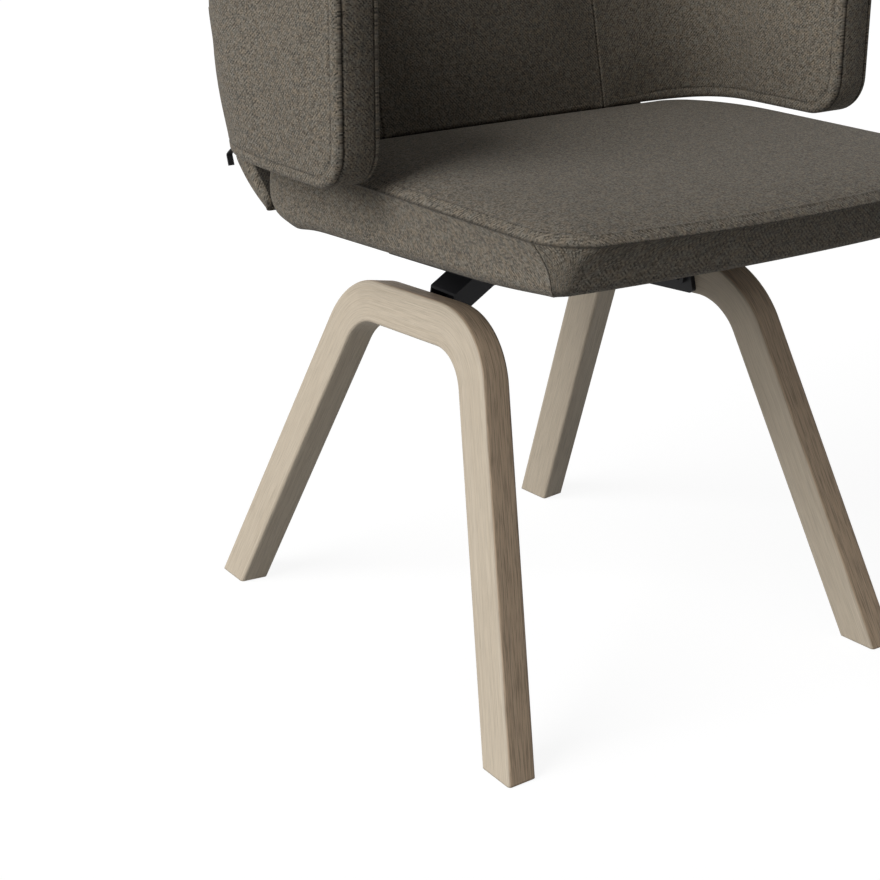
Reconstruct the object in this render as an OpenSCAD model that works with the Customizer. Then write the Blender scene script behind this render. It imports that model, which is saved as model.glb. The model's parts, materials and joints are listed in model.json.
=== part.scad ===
// Upholstered dining armchair on two bent-wood side frames joined by one steel beam.
// The seat glides forwards on two rods while a cam leans the back, so both move together.
// Millimetres, +Z up, the chair faces -Y, and x = 0 is its middle.

/* [Bent-wood side frames] */
// Distance from the middle to the outer front corner of each front foot
foot_reach = 230.4; // [200:1:260]
// Distance between the front corners of the front and rear feet, along the frame
foot_pitch = 480; // [430:1:540]
// Width of the laminated bar, seen from the side
bar_width = 38; // [30:0.5:46]
// Thickness of the laminated bar, seen from the front
bar_thick = 28.2; // [22:0.2:34]
// Radius that softens the long edges of the bar
bar_edge = 3; // [1:0.5:6]
// Outer radius of the two bends
bend_radius = 82; // [60:1:100]
// Height of the crosspiece's top line above the front foot, along the frame
cross_height = 373.4; // [340:1:400]
// Fall of the crosspiece towards the back, in degrees
cross_fall = 3.4; // [0:0.1:6]
// Slope of the front leg in the frame's plane, in degrees
front_rake = 21.6; // [12:0.1:26]
// Slope of the rear leg in the frame's plane, in degrees
rear_rake = 24.9; // [14:0.1:30]
// Angle by which the frames converge towards the back, in degrees
toe_angle = 2.5; // [0:0.1:5]
// Angle by which the frames lean inwards, in degrees
lean_angle = 10; // [4:0.1:14]

/* [Foot glides] */
// Radius of the nylon disc let into each foot
glide_r = 8; // [5:0.5:11]
// Length of the disc
glide_length = 6; // [4:0.5:10]
// How far the disc stands out below the wood
glide_proud = 1; // [0.5:0.1:2]

/* [Steel beam] */
// Width of the beam's tube, front to back
beam_width = 40; // [30:1:60]
// Height of the beam's tube
beam_height = 20; // [16:1:25]
// Wall of the beam's tube
beam_wall = 2; // [1.5:0.5:4]
// Distance of the beam's middle from the front feet
beam_y = 245; // [225:1:265]
// Height of the beam's flat middle stretch
beam_top = 372; // [366:1:378]
// Half the length of the flat middle stretch
beam_flat = 88; // [75:1:100]
// Fall of the beam's two arms, in degrees
arm_fall = 30; // [24:1:36]
// Thickness of the flange on each arm's end
flange_thick = 5; // [3:0.5:8]
// Length of the flange along the crosspiece
flange_length = 92; // [80:1:110]
// Height of the flange
flange_height = 32; // [26:1:34]
// Distance between the two bolts of a flange
bolt_pitch = 66; // [56:1:74]
// Radius of the bolts' shanks
bolt_r = 4; // [3:0.5:5]

/* [Glide under the seat] */
// Tilt of the seat and its glide, front edge up, in degrees
seat_tilt = 2.3; // [0:0.1:4]
// How far the seat glides forwards
glide_travel = 50; // [30:1:50]
// How far the back leans over that travel, in degrees
recline_angle = 10; // [6:0.5:10]
// Radius of the two guide rods
rod_r = 6; // [4:0.5:7]
// Distance of each guide rod from the middle
rod_x = 70; // [60:1:80]
// Front end of the guide rods
rod_front = 96; // [88:1:98]
// Rear end of the guide rods
rod_rear = 318; // [316:1:324]
// Thickness of the base plate on the beam
plate_thick = 4; // [3:0.5:5]
// Half the width of the base plate
plate_half = 132; // [131:1:138]
// Wall of the plain bushes round the rods
bush_wall = 2; // [1.5:0.5:3]
// Height of the rods above the base plate's top
rod_lift = 20; // [19:0.5:22]
// Thickness of the carriage plate under the seat
carriage_thick = 5; // [4:0.5:6]

/* [Back hinge and cam] */
// Distance of the back's hinge from the front feet
hinge_y = 300; // [296:1:304]
// Radius of the hinge pins
hinge_r = 5; // [4:0.5:6]
// Thickness of each back bracket
bracket_thick = 6; // [5:0.5:7]
// Distance of each back bracket from the middle
bracket_x = 111; // [108:1:112]
// Distance from the hinge forwards to the follower pin
lever_length = 60; // [50:1:64]
// Distance from the hinge down to the follower pin
lever_drop = 9; // [6:1:10]
// Radius of the follower pins
follower_r = 4; // [3:0.5:4.5]

/* [Seat] */
// Half the width of the seat at its top seam
seat_half = 241; // [225:1:243]
// Front corners of the seat, ahead of the front feet
seat_front = 62; // [50:1:70]
// How far the front edge bows out between the corners
seat_bow = 27; // [20:1:45]
// Rear edge of the seat, behind the front feet
seat_rear = 368; // [355:1:369]
// Height of the top seam above the floor
seam_height = 471; // [460:1:474]
// Rise of the cushion's crown above the seam
seat_crown = 14; // [6:1:16]
// How far the cushion's sides are drawn in between the seams
side_tuck = 3; // [0:0.5:6]
// Thickness of the plywood seat pan
pan_thick = 12; // [9:1:14]

/* [Back and arms] */
// Distance of the arm's outer face from the middle
arm_outer = 293; // [285:1:310]
// Thickness of the arm at its seams
arm_thick = 41; // [30:1:42]
// Front face of the arm, behind the front feet
arm_front = 146; // [120:1:170]
// Height of the arm's lower edge
arm_bottom = 476; // [475:1:490]
// Height of the arm's top
arm_top = 655; // [620:1:690]
// Height of the back's top
back_top = 842; // [780:1:900]
// Half the width of the back's middle panel
panel_half = 128; // [100:1:160]
// Inner face of the back at seat height, behind the front feet
back_inner = 333; // [325:1:345]
// Outer face of the back at seat height, behind the front feet
back_outer = 430; // [420:1:440]
// Lean of the back's inner face, in degrees
inner_lean = 12.5; // [8:0.5:16]
// Lean of the back's outer face, in degrees
outer_lean = 6; // [4:0.5:10]
// Radius that rounds the arm's front corners, seen from the side
arm_corner = 36; // [20:1:50]
// How far the outer face of the back draws in at its lower edge
lower_tuck = 10; // [0:1:14]
// Height from which it draws in
tuck_from = 545; // [500:5:600]
// Half the width of the tail below the back
tail_half = 234; // [200:1:238]

/* [Clearances] */
// Clearance all round a running fit
run_gap = 0.05; // [0.02:0.01:0.1]
// Clearance between parts that don't touch
part_gap = 0.4; // [0.3:0.05:0.6]
// Space between the seat and the arms that move past it
side_gap = 1; // [0.5:0.1:2]

/* [Hidden] */
$fn = 48;

wood = [0.78, 0.71, 0.60];
black_steel = [0.10, 0.10, 0.11];
bright_steel = [0.70, 0.70, 0.72];
nylon = [0.15, 0.15, 0.15];
plywood = [0.72, 0.60, 0.42];
fabric = [0.36, 0.33, 0.29];

// A side frame's own axes: u runs back along it, v up it and w inwards across it
function frame_place(u, v, w) = let(
        x1 = v * sin(lean_angle) + w * cos(lean_angle),
        z1 = v * cos(lean_angle) - w * sin(lean_angle)
    ) [
        -foot_reach + x1 * cos(toe_angle) + u * sin(toe_angle),
        u * cos(toe_angle) - x1 * sin(toe_angle),
        z1
    ];
module in_frame() {
    translate([-foot_reach, 0, 0]) rotate([0, 0, -toe_angle]) rotate([0, lean_angle, 0])
        rotate([90, 0, 90]) children();
}
module both_sides() {
    children();
    mirror([1, 0, 0]) children();
}

// The glide's own level frame, tilted about the middle of the beam's top
function tilted_y(y, z) = beam_y + (y - beam_y) * cos(seat_tilt) + (z - beam_top) * sin(seat_tilt);
function tilted_z(y, z) = beam_top - (y - beam_y) * sin(seat_tilt) + (z - beam_top) * cos(seat_tilt);
module tilted() {
    translate([0, beam_y, beam_top]) rotate([-seat_tilt, 0, 0]) translate([0, -beam_y, -beam_top])
        children();
}

// Heights in the glide's frame
plate_top = beam_top + plate_thick;
rod_z = plate_top + rod_lift;
bush_r = rod_r + run_gap + bush_wall;
bush_block_half = bush_r + 6;
carriage_low = rod_z + bush_block_half + 1;
carriage_top = carriage_low + carriage_thick;
pan_top = carriage_top + pan_thick;
hinge_z = carriage_low - 14;

// Crosspiece and leg lines in the frame's plane
cross_slope = tan(cross_fall);
front_join_v = cross_height / (1 + cross_slope * tan(front_rake));
front_join = [front_join_v * tan(front_rake), front_join_v];
rear_line_u = foot_pitch + bar_width / cos(rear_rake);
rear_join_v = (cross_height - cross_slope * rear_line_u) / (1 - cross_slope * tan(rear_rake));
rear_join = [rear_line_u - rear_join_v * tan(rear_rake), rear_join_v];
foot_spare = 20;

// Cross-section of the bar: x grows inwards from its outer face, y across its thickness
round_steps = 3;
function edge_round(x, y, from_angle) = [
    for (i = [0:round_steps]) let(a = from_angle + 90 * i / round_steps)
        [x + bar_edge * cos(a), y + bar_edge * sin(a)]
];
bar_section = concat(
    edge_round(bar_edge, bar_edge, 180),
    edge_round(bar_width - bar_edge, bar_edge, 270),
    edge_round(bar_width - bar_edge, bar_thick - bar_edge, 0),
    edge_round(bar_edge, bar_thick - bar_edge, 90)
);
// Headings along the bar: up the front leg, back along the crosspiece, down the rear leg
front_heading = 90 - front_rake;
cross_heading = -cross_fall;
rear_heading = rear_rake - 90;
function along(heading) = [cos(heading), sin(heading)];
function inward(heading) = [sin(heading), -cos(heading)];
// Stations round a bend that joins two headings at a corner, about 5 degrees apart
function bend_stations(corner, from, to) = let(
        start = corner - bend_radius * tan((from - to) / 2) * along(from),
        centre = start + bend_radius * inward(from),
        steps = ceil((from - to) / 5)
    ) [
        for (i = [0:steps]) let(heading = from + (to - from) * i / steps)
            [centre - bend_radius * inward(heading), heading]
    ];
function bar_point(station, x, y) = let(q = station[0] + x * inward(station[1])) [q[0], q[1], y];
// The whole bar, with its section carried along the outer face of the two legs and the crosspiece
module bent_bar() {
    stations = concat(
        [[-foot_spare * along(front_heading), front_heading]],
        bend_stations(front_join, front_heading, cross_heading),
        bend_stations(rear_join, cross_heading, rear_heading),
        [[[rear_line_u, 0] + foot_spare * along(rear_heading), rear_heading]]
    );
    skin(
        [for (station = stations) [for (p = bar_section) bar_point(station, p[0], bar_thick - p[1])]],
        bar_point(stations[0], bar_width / 2, bar_thick / 2),
        bar_point(stations[len(stations) - 1], bar_width / 2, bar_thick / 2)
    );
}

// Middle of the flange on the crosspiece's inner face
flange_u = beam_y / cos(toe_angle) + 3;
flange_v = cross_height - cross_slope * flange_u - bar_width / 2;
insert_r = bolt_r + 2;
insert_length = 16;
insert_w = bar_thick - insert_length;
bolt_head_r = bolt_r + 3;
bolt_head_h = 4.5;

// Puts its children at each bolt of the left frame, along w
module at_leg_bolts() {
    in_frame() for (side = [-1, 1])
        translate([
            flange_u + side * bolt_pitch / 2,
            flange_v - side * bolt_pitch / 2 * cross_slope, 0
        ]) children();
}
// Middle of a foot where it meets the floor
foot_w = bar_thick / 2;
function foot_place(u_outer, rake) = let(
        v_floor = foot_w * tan(lean_angle) + glide_proud / cos(lean_angle),
        u_floor = u_outer + v_floor * tan(rake)
    ) frame_place(u_floor, v_floor, foot_w);
module at_feet() {
    front = foot_place(bar_width / cos(front_rake) / 2, front_rake);
    rear = foot_place(foot_pitch + bar_width / cos(rear_rake) / 2, -rear_rake);
    for (spot = [front, rear]) translate([spot[0], spot[1], 0]) children();
}

module left_leg_frame() {
    floor_size = 900;
    color(wood) difference() {
        in_frame() bent_bar();
        translate([-floor_size / 2, -floor_size / 4, -floor_size + glide_proud]) cube(floor_size);
        at_feet() cylinder(h = glide_length + run_gap, r = glide_r + run_gap);
        at_leg_bolts() translate([0, 0, insert_w - 1])
            cylinder(h = insert_length + 2, r = insert_r + run_gap);
    }
}
module right_leg_frame() {
    mirror([1, 0, 0]) left_leg_frame();
}
module foot_glides() {
    color(nylon) both_sides() at_feet() cylinder(h = glide_length, r = glide_r);
}

// Long strip that follows the beam seen from the front, with a margin inside its walls
module beam_strip(inset) {
    reach = 170;
    bottom_flat = beam_flat - beam_height * tan(arm_fall / 2);
    drop = (reach - beam_flat) * tan(arm_fall);
    top = beam_top - inset;
    low = beam_top - beam_height + inset;
    polygon([
        [-reach, top - drop - inset * 0.15], [-beam_flat, top], [beam_flat, top],
        [reach, top - drop - inset * 0.15],
        [reach, low - (reach - bottom_flat) * tan(arm_fall) + inset * 0.15],
        [bottom_flat, low], [-bottom_flat, low],
        [-reach, low - (reach - bottom_flat) * tan(arm_fall) + inset * 0.15]
    ]);
}
// Everything on the far side of the flange's inner face
module beyond_flange() {
    span = 400;
    both_sides() in_frame() translate([-span / 2, 0, bar_thick + flange_thick - span])
        cube([span * 2, span * 1.5, span]);
}
module cross_beam() {
    color(black_steel) difference() {
        tilted() translate([0, beam_y + beam_width / 2, 0]) rotate([90, 0, 0])
            linear_extrude(beam_width) beam_strip(0);
        tilted() translate([0, beam_y + beam_width / 2 - beam_wall, 0]) rotate([90, 0, 0])
            linear_extrude(beam_width - 2 * beam_wall) beam_strip(beam_wall);
        beyond_flange();
    }
}
module left_flange() {
    corner = 5;
    color(black_steel) difference() {
        in_frame() translate([flange_u, flange_v, bar_thick]) rotate([0, 0, -cross_fall])
            linear_extrude(flange_thick) {
                square([flange_length - 2 * corner, flange_height], center = true);
                square([flange_length, flange_height - 2 * corner], center = true);
                for (x = [-1, 1], y = [-1, 1])
                    translate([x * (flange_length / 2 - corner), y * (flange_height / 2 - corner)])
                        circle(r = corner);
            }
        at_leg_bolts() translate([0, 0, bar_thick - 1])
            cylinder(h = flange_thick + 2, r = bolt_r + 0.4);
    }
}
module right_flange() {
    mirror([1, 0, 0]) left_flange();
}
module leg_inserts() {
    color(bright_steel) both_sides() at_leg_bolts() translate([0, 0, insert_w]) difference() {
        cylinder(h = insert_length, r = insert_r);
        translate([0, 0, -1]) cylinder(h = insert_length + 2, r = bolt_r + run_gap);
    }
}
module leg_bolts() {
    color(black_steel) both_sides() at_leg_bolts() {
        translate([0, 0, insert_w + 2]) cylinder(h = bar_thick + flange_thick - insert_w - 2, r = bolt_r);
        translate([0, 0, bar_thick + flange_thick]) difference() {
            cylinder(h = bolt_head_h, r = bolt_head_r);
            translate([0, 0, bolt_head_h - 2.5]) cylinder(h = 3, r = 2.9, $fn = 6);
        }
    }
}

// Base plate on the beam: narrow in front under the rods, wide where it carries the cam plates
module glide_base() {
    nose_half = rod_x + rod_block_half + 2;
    cut = 26;
    window_half = 36;
    window_length = 34;
    color(black_steel) tilted() difference() {
        translate([0, 0, beam_top]) linear_extrude(plate_thick) polygon([
            [-nose_half, rod_front], [nose_half, rod_front],
            [nose_half, cam_front - cut], [plate_half, cam_front],
            [plate_half, rod_rear], [-plate_half, rod_rear],
            [-plate_half, cam_front], [-nose_half, cam_front - cut]
        ]);
        for (y = [rod_front + 18, rod_front + 78]) translate([-window_half, y, beam_top - 1])
            cube([2 * window_half, window_length, plate_thick + 2]);
    }
}
rod_block_depth = 16;
rod_block_half = 12;
rod_block_top = rod_z + 12;
module rod_blocks() {
    color(black_steel) tilted()
        for (x = [-rod_x, rod_x], y = [rod_front, rod_rear - rod_block_depth]) difference() {
            translate([x - rod_block_half, y, plate_top])
                cube([2 * rod_block_half, rod_block_depth, rod_block_top - plate_top]);
            translate([x, y - 1, rod_z]) rotate([-90, 0, 0])
                cylinder(h = rod_block_depth + 2, r = rod_r + run_gap);
        }
}
module guide_rods() {
    color(bright_steel) tilted() for (x = [-rod_x, rod_x]) translate([x, rod_front, rod_z])
        rotate([-90, 0, 0]) cylinder(h = rod_rear - rod_front, r = rod_r);
}

// The follower's path: the carriage goes forwards while the lever turns about the hinge
function lever_shift(angle) = [
    -lever_length * cos(angle) - lever_drop * sin(angle) + lever_length
        - glide_travel * angle / recline_angle,
    lever_length * sin(angle) - lever_drop * cos(angle) + lever_drop
];
follower_y = hinge_y - lever_length;
follower_z = hinge_z - lever_drop;
slot_end = lever_shift(recline_angle);
slot_gap = 0.35;
slot_angle = atan2(slot_end[1], -slot_end[0]);
slot_length = norm(slot_end);
cam_x = plate_half - 6;
cam_thick = 4;
cam_margin = 9;
roller = follower_r + 1.5 + slot_gap;
cam_front = follower_y + slot_end[0] - roller - cam_margin;
// The two cam plates, each with the sloping slot that leans the back
module cam_plates() {
    plate_rear = follower_y + roller + cam_margin;
    color(black_steel) tilted() both_sides() difference() {
        translate([-cam_x - cam_thick, cam_front, plate_top])
            cube([cam_thick, plate_rear - cam_front, carriage_low - 1.5 - plate_top]);
        translate([-cam_x - cam_thick - 1, follower_y, follower_z]) rotate([-slot_angle, 0, 0]) {
            rotate([0, 90, 0]) cylinder(h = cam_thick + 2, r = roller);
            translate([0, -slot_length, 0]) rotate([0, 90, 0]) cylinder(h = cam_thick + 2, r = roller);
            translate([0, -slot_length, -roller]) cube([cam_thick + 2, slot_length, 2 * roller]);
        }
    }
}

carriage_front = 132;
carriage_rear = hinge_y + 14;
carriage_half = 125;
carriage_window = [120, 50];
lug_thick = 5;
eye_r = hinge_r + 4;
lug_inner = bracket_x - bracket_thick / 2 - part_gap - lug_thick;
lug_outer = bracket_x + bracket_thick / 2 + part_gap;
// Carriage plate with its two pairs of hinge lugs
module seat_carriage() {
    color(black_steel) tilted() difference() {
        union() {
            translate([-carriage_half, carriage_front, carriage_low])
                cube([2 * carriage_half, carriage_rear - carriage_front, carriage_thick]);
            both_sides() for (x = [lug_inner, lug_outer]) translate([x, hinge_y, hinge_z]) {
                rotate([0, 90, 0]) cylinder(h = lug_thick, r = eye_r);
                translate([0, -eye_r, 0]) cube([lug_thick, 2 * eye_r, carriage_low - hinge_z + 1]);
            }
        }
        translate([-carriage_window[0] / 2, carriage_front + 45, carriage_low - 1])
            cube([carriage_window[0], carriage_window[1], carriage_thick + 2]);
        both_sides() translate([lug_inner - 1, hinge_y, hinge_z]) rotate([0, 90, 0])
            cylinder(h = lug_outer - lug_inner + lug_thick + 2, r = hinge_r + run_gap);
        at_seat_screws() translate([0, 0, -1]) cylinder(h = carriage_thick + 2, r = screw_r + 0.4);
    }
}
bush_block_depth = 30;
bush_spots = [rod_front + rod_block_depth + glide_travel + 3, 240];
module at_bushes() {
    for (x = [-rod_x, rod_x], y = bush_spots) translate([x, y, rod_z]) rotate([-90, 0, 0]) children();
}
module bush_blocks() {
    color(black_steel) tilted() difference() {
        for (x = [-rod_x, rod_x], y = bush_spots)
            translate([x - bush_block_half, y, rod_z - bush_block_half])
                cube([2 * bush_block_half, bush_block_depth, 2 * bush_block_half + 1]);
        at_bushes() translate([0, 0, -1]) cylinder(h = bush_block_depth + 2, r = bush_r + run_gap);
    }
}
module rod_bushes() {
    color(nylon) tilted() at_bushes() difference() {
        cylinder(h = bush_block_depth, r = bush_r);
        translate([0, 0, -1]) cylinder(h = bush_block_depth + 2, r = rod_r + run_gap);
    }
}
module hinge_pins() {
    color(bright_steel) tilted() both_sides() translate([lug_inner - 2, hinge_y, hinge_z])
        rotate([0, 90, 0]) {
            cylinder(h = lug_outer - lug_inner + lug_thick + 2, r = hinge_r);
            translate([0, 0, -1]) cylinder(h = 3 - part_gap, r = hinge_r + 2.5);
        }
}

screw_r = 3;
screw_grip = 10;
seat_screw_x = 98;
seat_screw_rows = [150, 270];
module at_seat_screws() {
    for (x = [-seat_screw_x, seat_screw_x], y = seat_screw_rows) translate([x, y, carriage_low])
        children();
}
module seat_screws() {
    color(black_steel) tilted() at_seat_screws() {
        cylinder(h = carriage_thick + screw_grip, r = screw_r - run_gap);
        translate([0, 0, -3]) cylinder(h = 3, r = screw_r + 2.5);
    }
}

// Points along a rounded outline whose front edge bows forwards
corner_steps = 7;
edge_steps = 7;
function arc_points(cx, cy, r, from_angle) = [
    for (i = [0:corner_steps]) let(a = from_angle + 90 * i / corner_steps)
        [cx + r * cos(a), cy + r * sin(a)]
];
function edge_points(a, b) = [for (i = [1:edge_steps - 1]) a + (b - a) * i / edge_steps];
function bowed(p, half) = [
    p[0],
    p[1] - seat_bow * max(0, 1 - pow(p[0] / half, 2)) * max(0, 1 - (p[1] + seat_front) / 260)
];
front_corner_r = 40;
front_corner_low_r = 24;
rear_corner_r = 30;
function seat_outline(inset, corner_r = front_corner_r) = let(
        half = seat_half - inset,
        front = -seat_front + inset,
        rear = seat_rear - inset,
        rf = max(corner_r - inset, 8),
        rr = max(rear_corner_r - inset, 8),
        a = arc_points(half - rf, front + rf, rf, 270),
        b = arc_points(half - rr, rear - rr, rr, 0),
        c = arc_points(-half + rr, rear - rr, rr, 90),
        d = arc_points(-half + rf, front + rf, rf, 180),
        loop = concat(
            a, edge_points(a[corner_steps], b[0]), b, edge_points(b[corner_steps], c[0]),
            c, edge_points(c[corner_steps], d[0]), d, edge_points(d[corner_steps], a[0])
        )
    ) [for (p = loop) bowed(p, half)];

pan_inset = 16;
module seat_pan() {
    color(plywood) tilted() difference() {
        translate([0, 0, carriage_top]) linear_extrude(pan_thick)
            polygon(seat_outline(pan_inset + side_gap));
        at_seat_screws() translate([0, 0, carriage_thick - 1]) cylinder(h = screw_grip + 2, r = screw_r);
    }
}
cover_thick = 1.2;
// Cloth cover under the pan, open round the carriage
module underside_cover() {
    color(nylon) tilted() translate([0, 0, carriage_top - cover_thick]) linear_extrude(cover_thick)
        difference() {
            polygon(seat_outline(pan_inset + 3));
            translate([-carriage_half - side_gap, carriage_front - side_gap])
                square([2 * (carriage_half + side_gap), seat_rear]);
        }
}

// Closes a stack of loops, given from one end to the other, with a point at each end
module skin(rings, first_tip, last_tip) {
    n = len(rings[0]);
    m = len(rings);
    points = concat([first_tip], [for (ring = rings) each ring], [last_tip]);
    last = len(points) - 1;
    faces = concat(
        [for (i = [0:n - 1]) [0, 1 + i, 1 + (i + 1) % n]],
        [for (k = [0:m - 2], i = [0:n - 1]) let(a = 1 + k * n + i, b = 1 + k * n + (i + 1) % n)
            [a, a + n, b]],
        [for (k = [0:m - 2], i = [0:n - 1]) let(a = 1 + k * n + i, b = 1 + k * n + (i + 1) % n)
            [b, a + n, b + n]],
        [for (i = [0:n - 1]) [last, last - n + (i + 1) % n, last - n + i]]
    );
    polyhedron(points, faces);
}

// Heights of the cushion: its top seam, and the tilted plane of its lower edge
seat_mid = [0, (seat_rear - seat_front) / 2];
rear_drop = 0.0006;
function seam_z(y) = seam_height - rear_drop * pow(max(0, y - 200), 2);
function rim_z(y) = tilted_z(y, carriage_top - 1.5) + 0.00045 * pow(max(0, 60 - y), 2);
function recess_z(y) = tilted_z(y, pan_top + part_gap);
function toward(p, share) = seat_mid + (p - seat_mid) * share;
function crown_z(y, share) = seam_z(y) + seat_crown * (1 - pow(share, 2.4));
function side_ring(inset, share) = [
    for (p = seat_outline(inset, front_corner_low_r + (front_corner_r - front_corner_low_r) * share))
        [p[0], p[1], rim_z(p[1]) + (seam_z(p[1]) - rim_z(p[1])) * share]
];
// Seat cushion: crowned top, sides drawn in between two seams, and a recess for the pan
module seat_cushion() {
    crown_rings = [
        for (share = [0.12, 0.35, 0.58, 0.78, 0.92]) [
            for (p = seat_outline(4)) let(q = toward(p, share)) [q[0], q[1], crown_z(q[1], share)]
        ]
    ];
    lip_ring = [for (p = seat_outline(3)) [p[0], p[1], seam_z(p[1]) + 1.2]];
    rim_in = [for (p = seat_outline(pan_inset)) [p[0], tilted_y(p[1], carriage_top), rim_z(p[1])]];
    recess = [for (p = seat_outline(pan_inset)) [p[0], tilted_y(p[1], pan_top), recess_z(p[1])]];
    color(fabric) skin(
        concat(
            crown_rings, [lip_ring],
            [side_ring(0, 0.95), side_ring(side_tuck * 0.7, 0.72), side_ring(side_tuck, 0.45)],
            [side_ring(side_tuck * 0.9 + 1, 0.2), side_ring(side_tuck + 5, 0.02)],
            [rim_in, recess]
        ),
        [seat_mid[0], seat_mid[1], crown_z(seat_mid[1], 0)],
        [seat_mid[0], seat_mid[1], recess_z(seat_mid[1])]
    );
}

// Rounded upright loop between two widths and two heights, softened by its corner radius
loop_steps = 4;
function loop_arc(cx, cz, r, from_angle) = [
    for (i = [0:loop_steps]) let(a = from_angle + 90 * i / loop_steps)
        [cx + r * cos(a), cz + r * sin(a)]
];
function pad_loop(n0, n1, z0, z1, r, low_r, bulge) = let(
        s = [0.2, 0.4, 0.6, 0.8],
        rise = z1 - z0 - r - low_r,
        raw = concat(
            loop_arc(n1 - low_r, z0 + low_r, low_r, 270),
            [for (k = s) [n1, z0 + low_r + rise * k]],
            loop_arc(n1 - r, z1 - r, r, 0),
            loop_arc(n0 + r, z1 - r, r, 90),
            [for (k = s) [n0, z1 - r - rise * k]],
            loop_arc(n0 + low_r, z0 + low_r, low_r, 180)
        ),
        mid_n = (n0 + n1) / 2,
        mid_z = (z0 + z1) / 2,
        half_z = (z1 - z0) / 2
    ) [
        for (p = raw) let(side = (p[0] - mid_n) / (n1 - mid_n))
            [p[0] + bulge * side * (1 - pow((p[1] - mid_z) / half_z, 2)), p[1]]
    ];

// The arm runs straight back, then turns in a squared quarter towards the back's panel
turn_start = 250;
turn_power = 0.7;
function quarter(half_x, depth, t) = [
    -panel_half - half_x * pow(cos(t), turn_power),
    turn_start + depth * pow(sin(t), turn_power)
];
arm_inner = arm_outer - arm_thick;
function inner_path(t) = quarter(arm_inner - panel_half, back_inner - turn_start, t);
function outer_path(t) = quarter(arm_outer - panel_half, back_outer - turn_start, t);
function blend_at(t) = pow(sin(t), 2);
lean_from = 490;
// One upright loop of the arm; t below 0 counts millimetres ahead of the turn
function arm_ring(t, inset_n, low, high, r, low_r) = let(
        straight = t < 0,
        inner = straight ? [-arm_inner, turn_start + t] : inner_path(t),
        outer = straight ? [-arm_outer, turn_start + t] : outer_path(t),
        b = straight ? 0 : blend_at(t),
        width = norm(outer - inner),
        loop = pad_loop(inset_n, width - inset_n, low, high, r, low_r, straight ? 4 : 4 - b)
    ) [
        for (p = loop) let(
                drop = max(0, tuck_from - p[1]) / (tuck_from - low),
                drawn = lower_tuck * pow(b, 0.5) * pow(p[0] / width, 2) * pow(drop, 1.6),
                f = (p[0] - drawn) / width,
                q = inner + (outer - inner) * f
            )
            [
                q[0],
                q[1] + (p[1] - lean_from) * b * (tan(inner_lean) * (1 - f) + tan(outer_lean) * f),
                p[1]
            ]
    ];
function corner_rise(depth) = depth >= arm_corner ? 0
    : arm_corner - sqrt(pow(arm_corner, 2) - pow(arm_corner - depth, 2));
arm_length = turn_start - arm_front;
panel_bottom = 472;
module left_arm() {
    front_steps = [1.5, 5, 12, 22, 36, 70];
    turns = [0, 12, 22, 31, 40, 49, 58, 66, 74, 82, 88];
    front_rings = [
        for (depth = front_steps) let(
                rise = corner_rise(depth),
                inset = depth < 3 ? 4 : depth < 8 ? 1.2 : 0
            )
            arm_ring(depth - arm_length, inset, arm_bottom + rise, arm_top - rise, 13, 13)
    ];
    turn_rings = [
        for (t = turns) let(b = blend_at(t))
            arm_ring(
                t == 0 ? -0.01 : t, 0,
                arm_bottom + (panel_bottom - arm_bottom) * b, arm_top + (back_top - arm_top) * b,
                13 + 9 * b, 13 - 6 * b
            )
    ];
    end_ring = [
        for (p = arm_ring(89.9, 0, panel_bottom, back_top, 22, 7)) [-panel_half - part_gap / 2, p[1], p[2]]
    ];
    mid_z = (arm_bottom + arm_top) / 2;
    end_mid = end_ring[2] * 0.5 + end_ring[18] * 0.5;
    color(fabric) skin(
        concat(front_rings, turn_rings, [end_ring]),
        [-(arm_outer + arm_inner) / 2, arm_front, mid_z],
        [-panel_half - part_gap / 2, end_mid[1], end_mid[2]]
    );
}
module right_arm() {
    mirror([1, 0, 0]) left_arm();
}
// Middle panel of the back, with the arms' end section carried across it
module back_panel() {
    stations = [-1, -0.9, -0.6, -0.25, 0.25, 0.6, 0.9, 1];
    half = panel_half - part_gap / 2;
    section = arm_ring(89.9, 0, panel_bottom, back_top, 22, 7);
    rings = [
        for (s = stations) let(puff = 4 * (1 - pow(s, 4)))
            [for (i = [0:len(section) - 1]) let(p = section[i])
                [s * half, p[1] + (i < 13 ? puff : -puff), p[2]]]
    ];
    mid_p = section[2] * 0.5 + section[18] * 0.5;
    color(fabric) skin(rings, [-half, mid_p[1], mid_p[2]], [half, mid_p[1], mid_p[2]]);
}

// The tail below the back: an arc outside, and a thinner end tucked behind the seat
tail_radius = 136;
tail_centre = [back_outer - tail_radius * 0.8235, seam_height + tail_radius * 0.5441];
tail_top = panel_bottom - part_gap;
tail_from = 23;
tail_proud = 2;
tail_to = acos((tail_centre[1] - tail_top) / tail_radius);
function on_arc(r, a) = tail_centre + r * [sin(a), -cos(a)];
function tail_depth(a) = 6 + 27 * pow((a - tail_from) / (tail_to - tail_from), 0.8);
function tail_inner(a) = let(p = on_arc(tail_radius - tail_depth(a), a)) [p[0], min(p[1], tail_top)];
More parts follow.
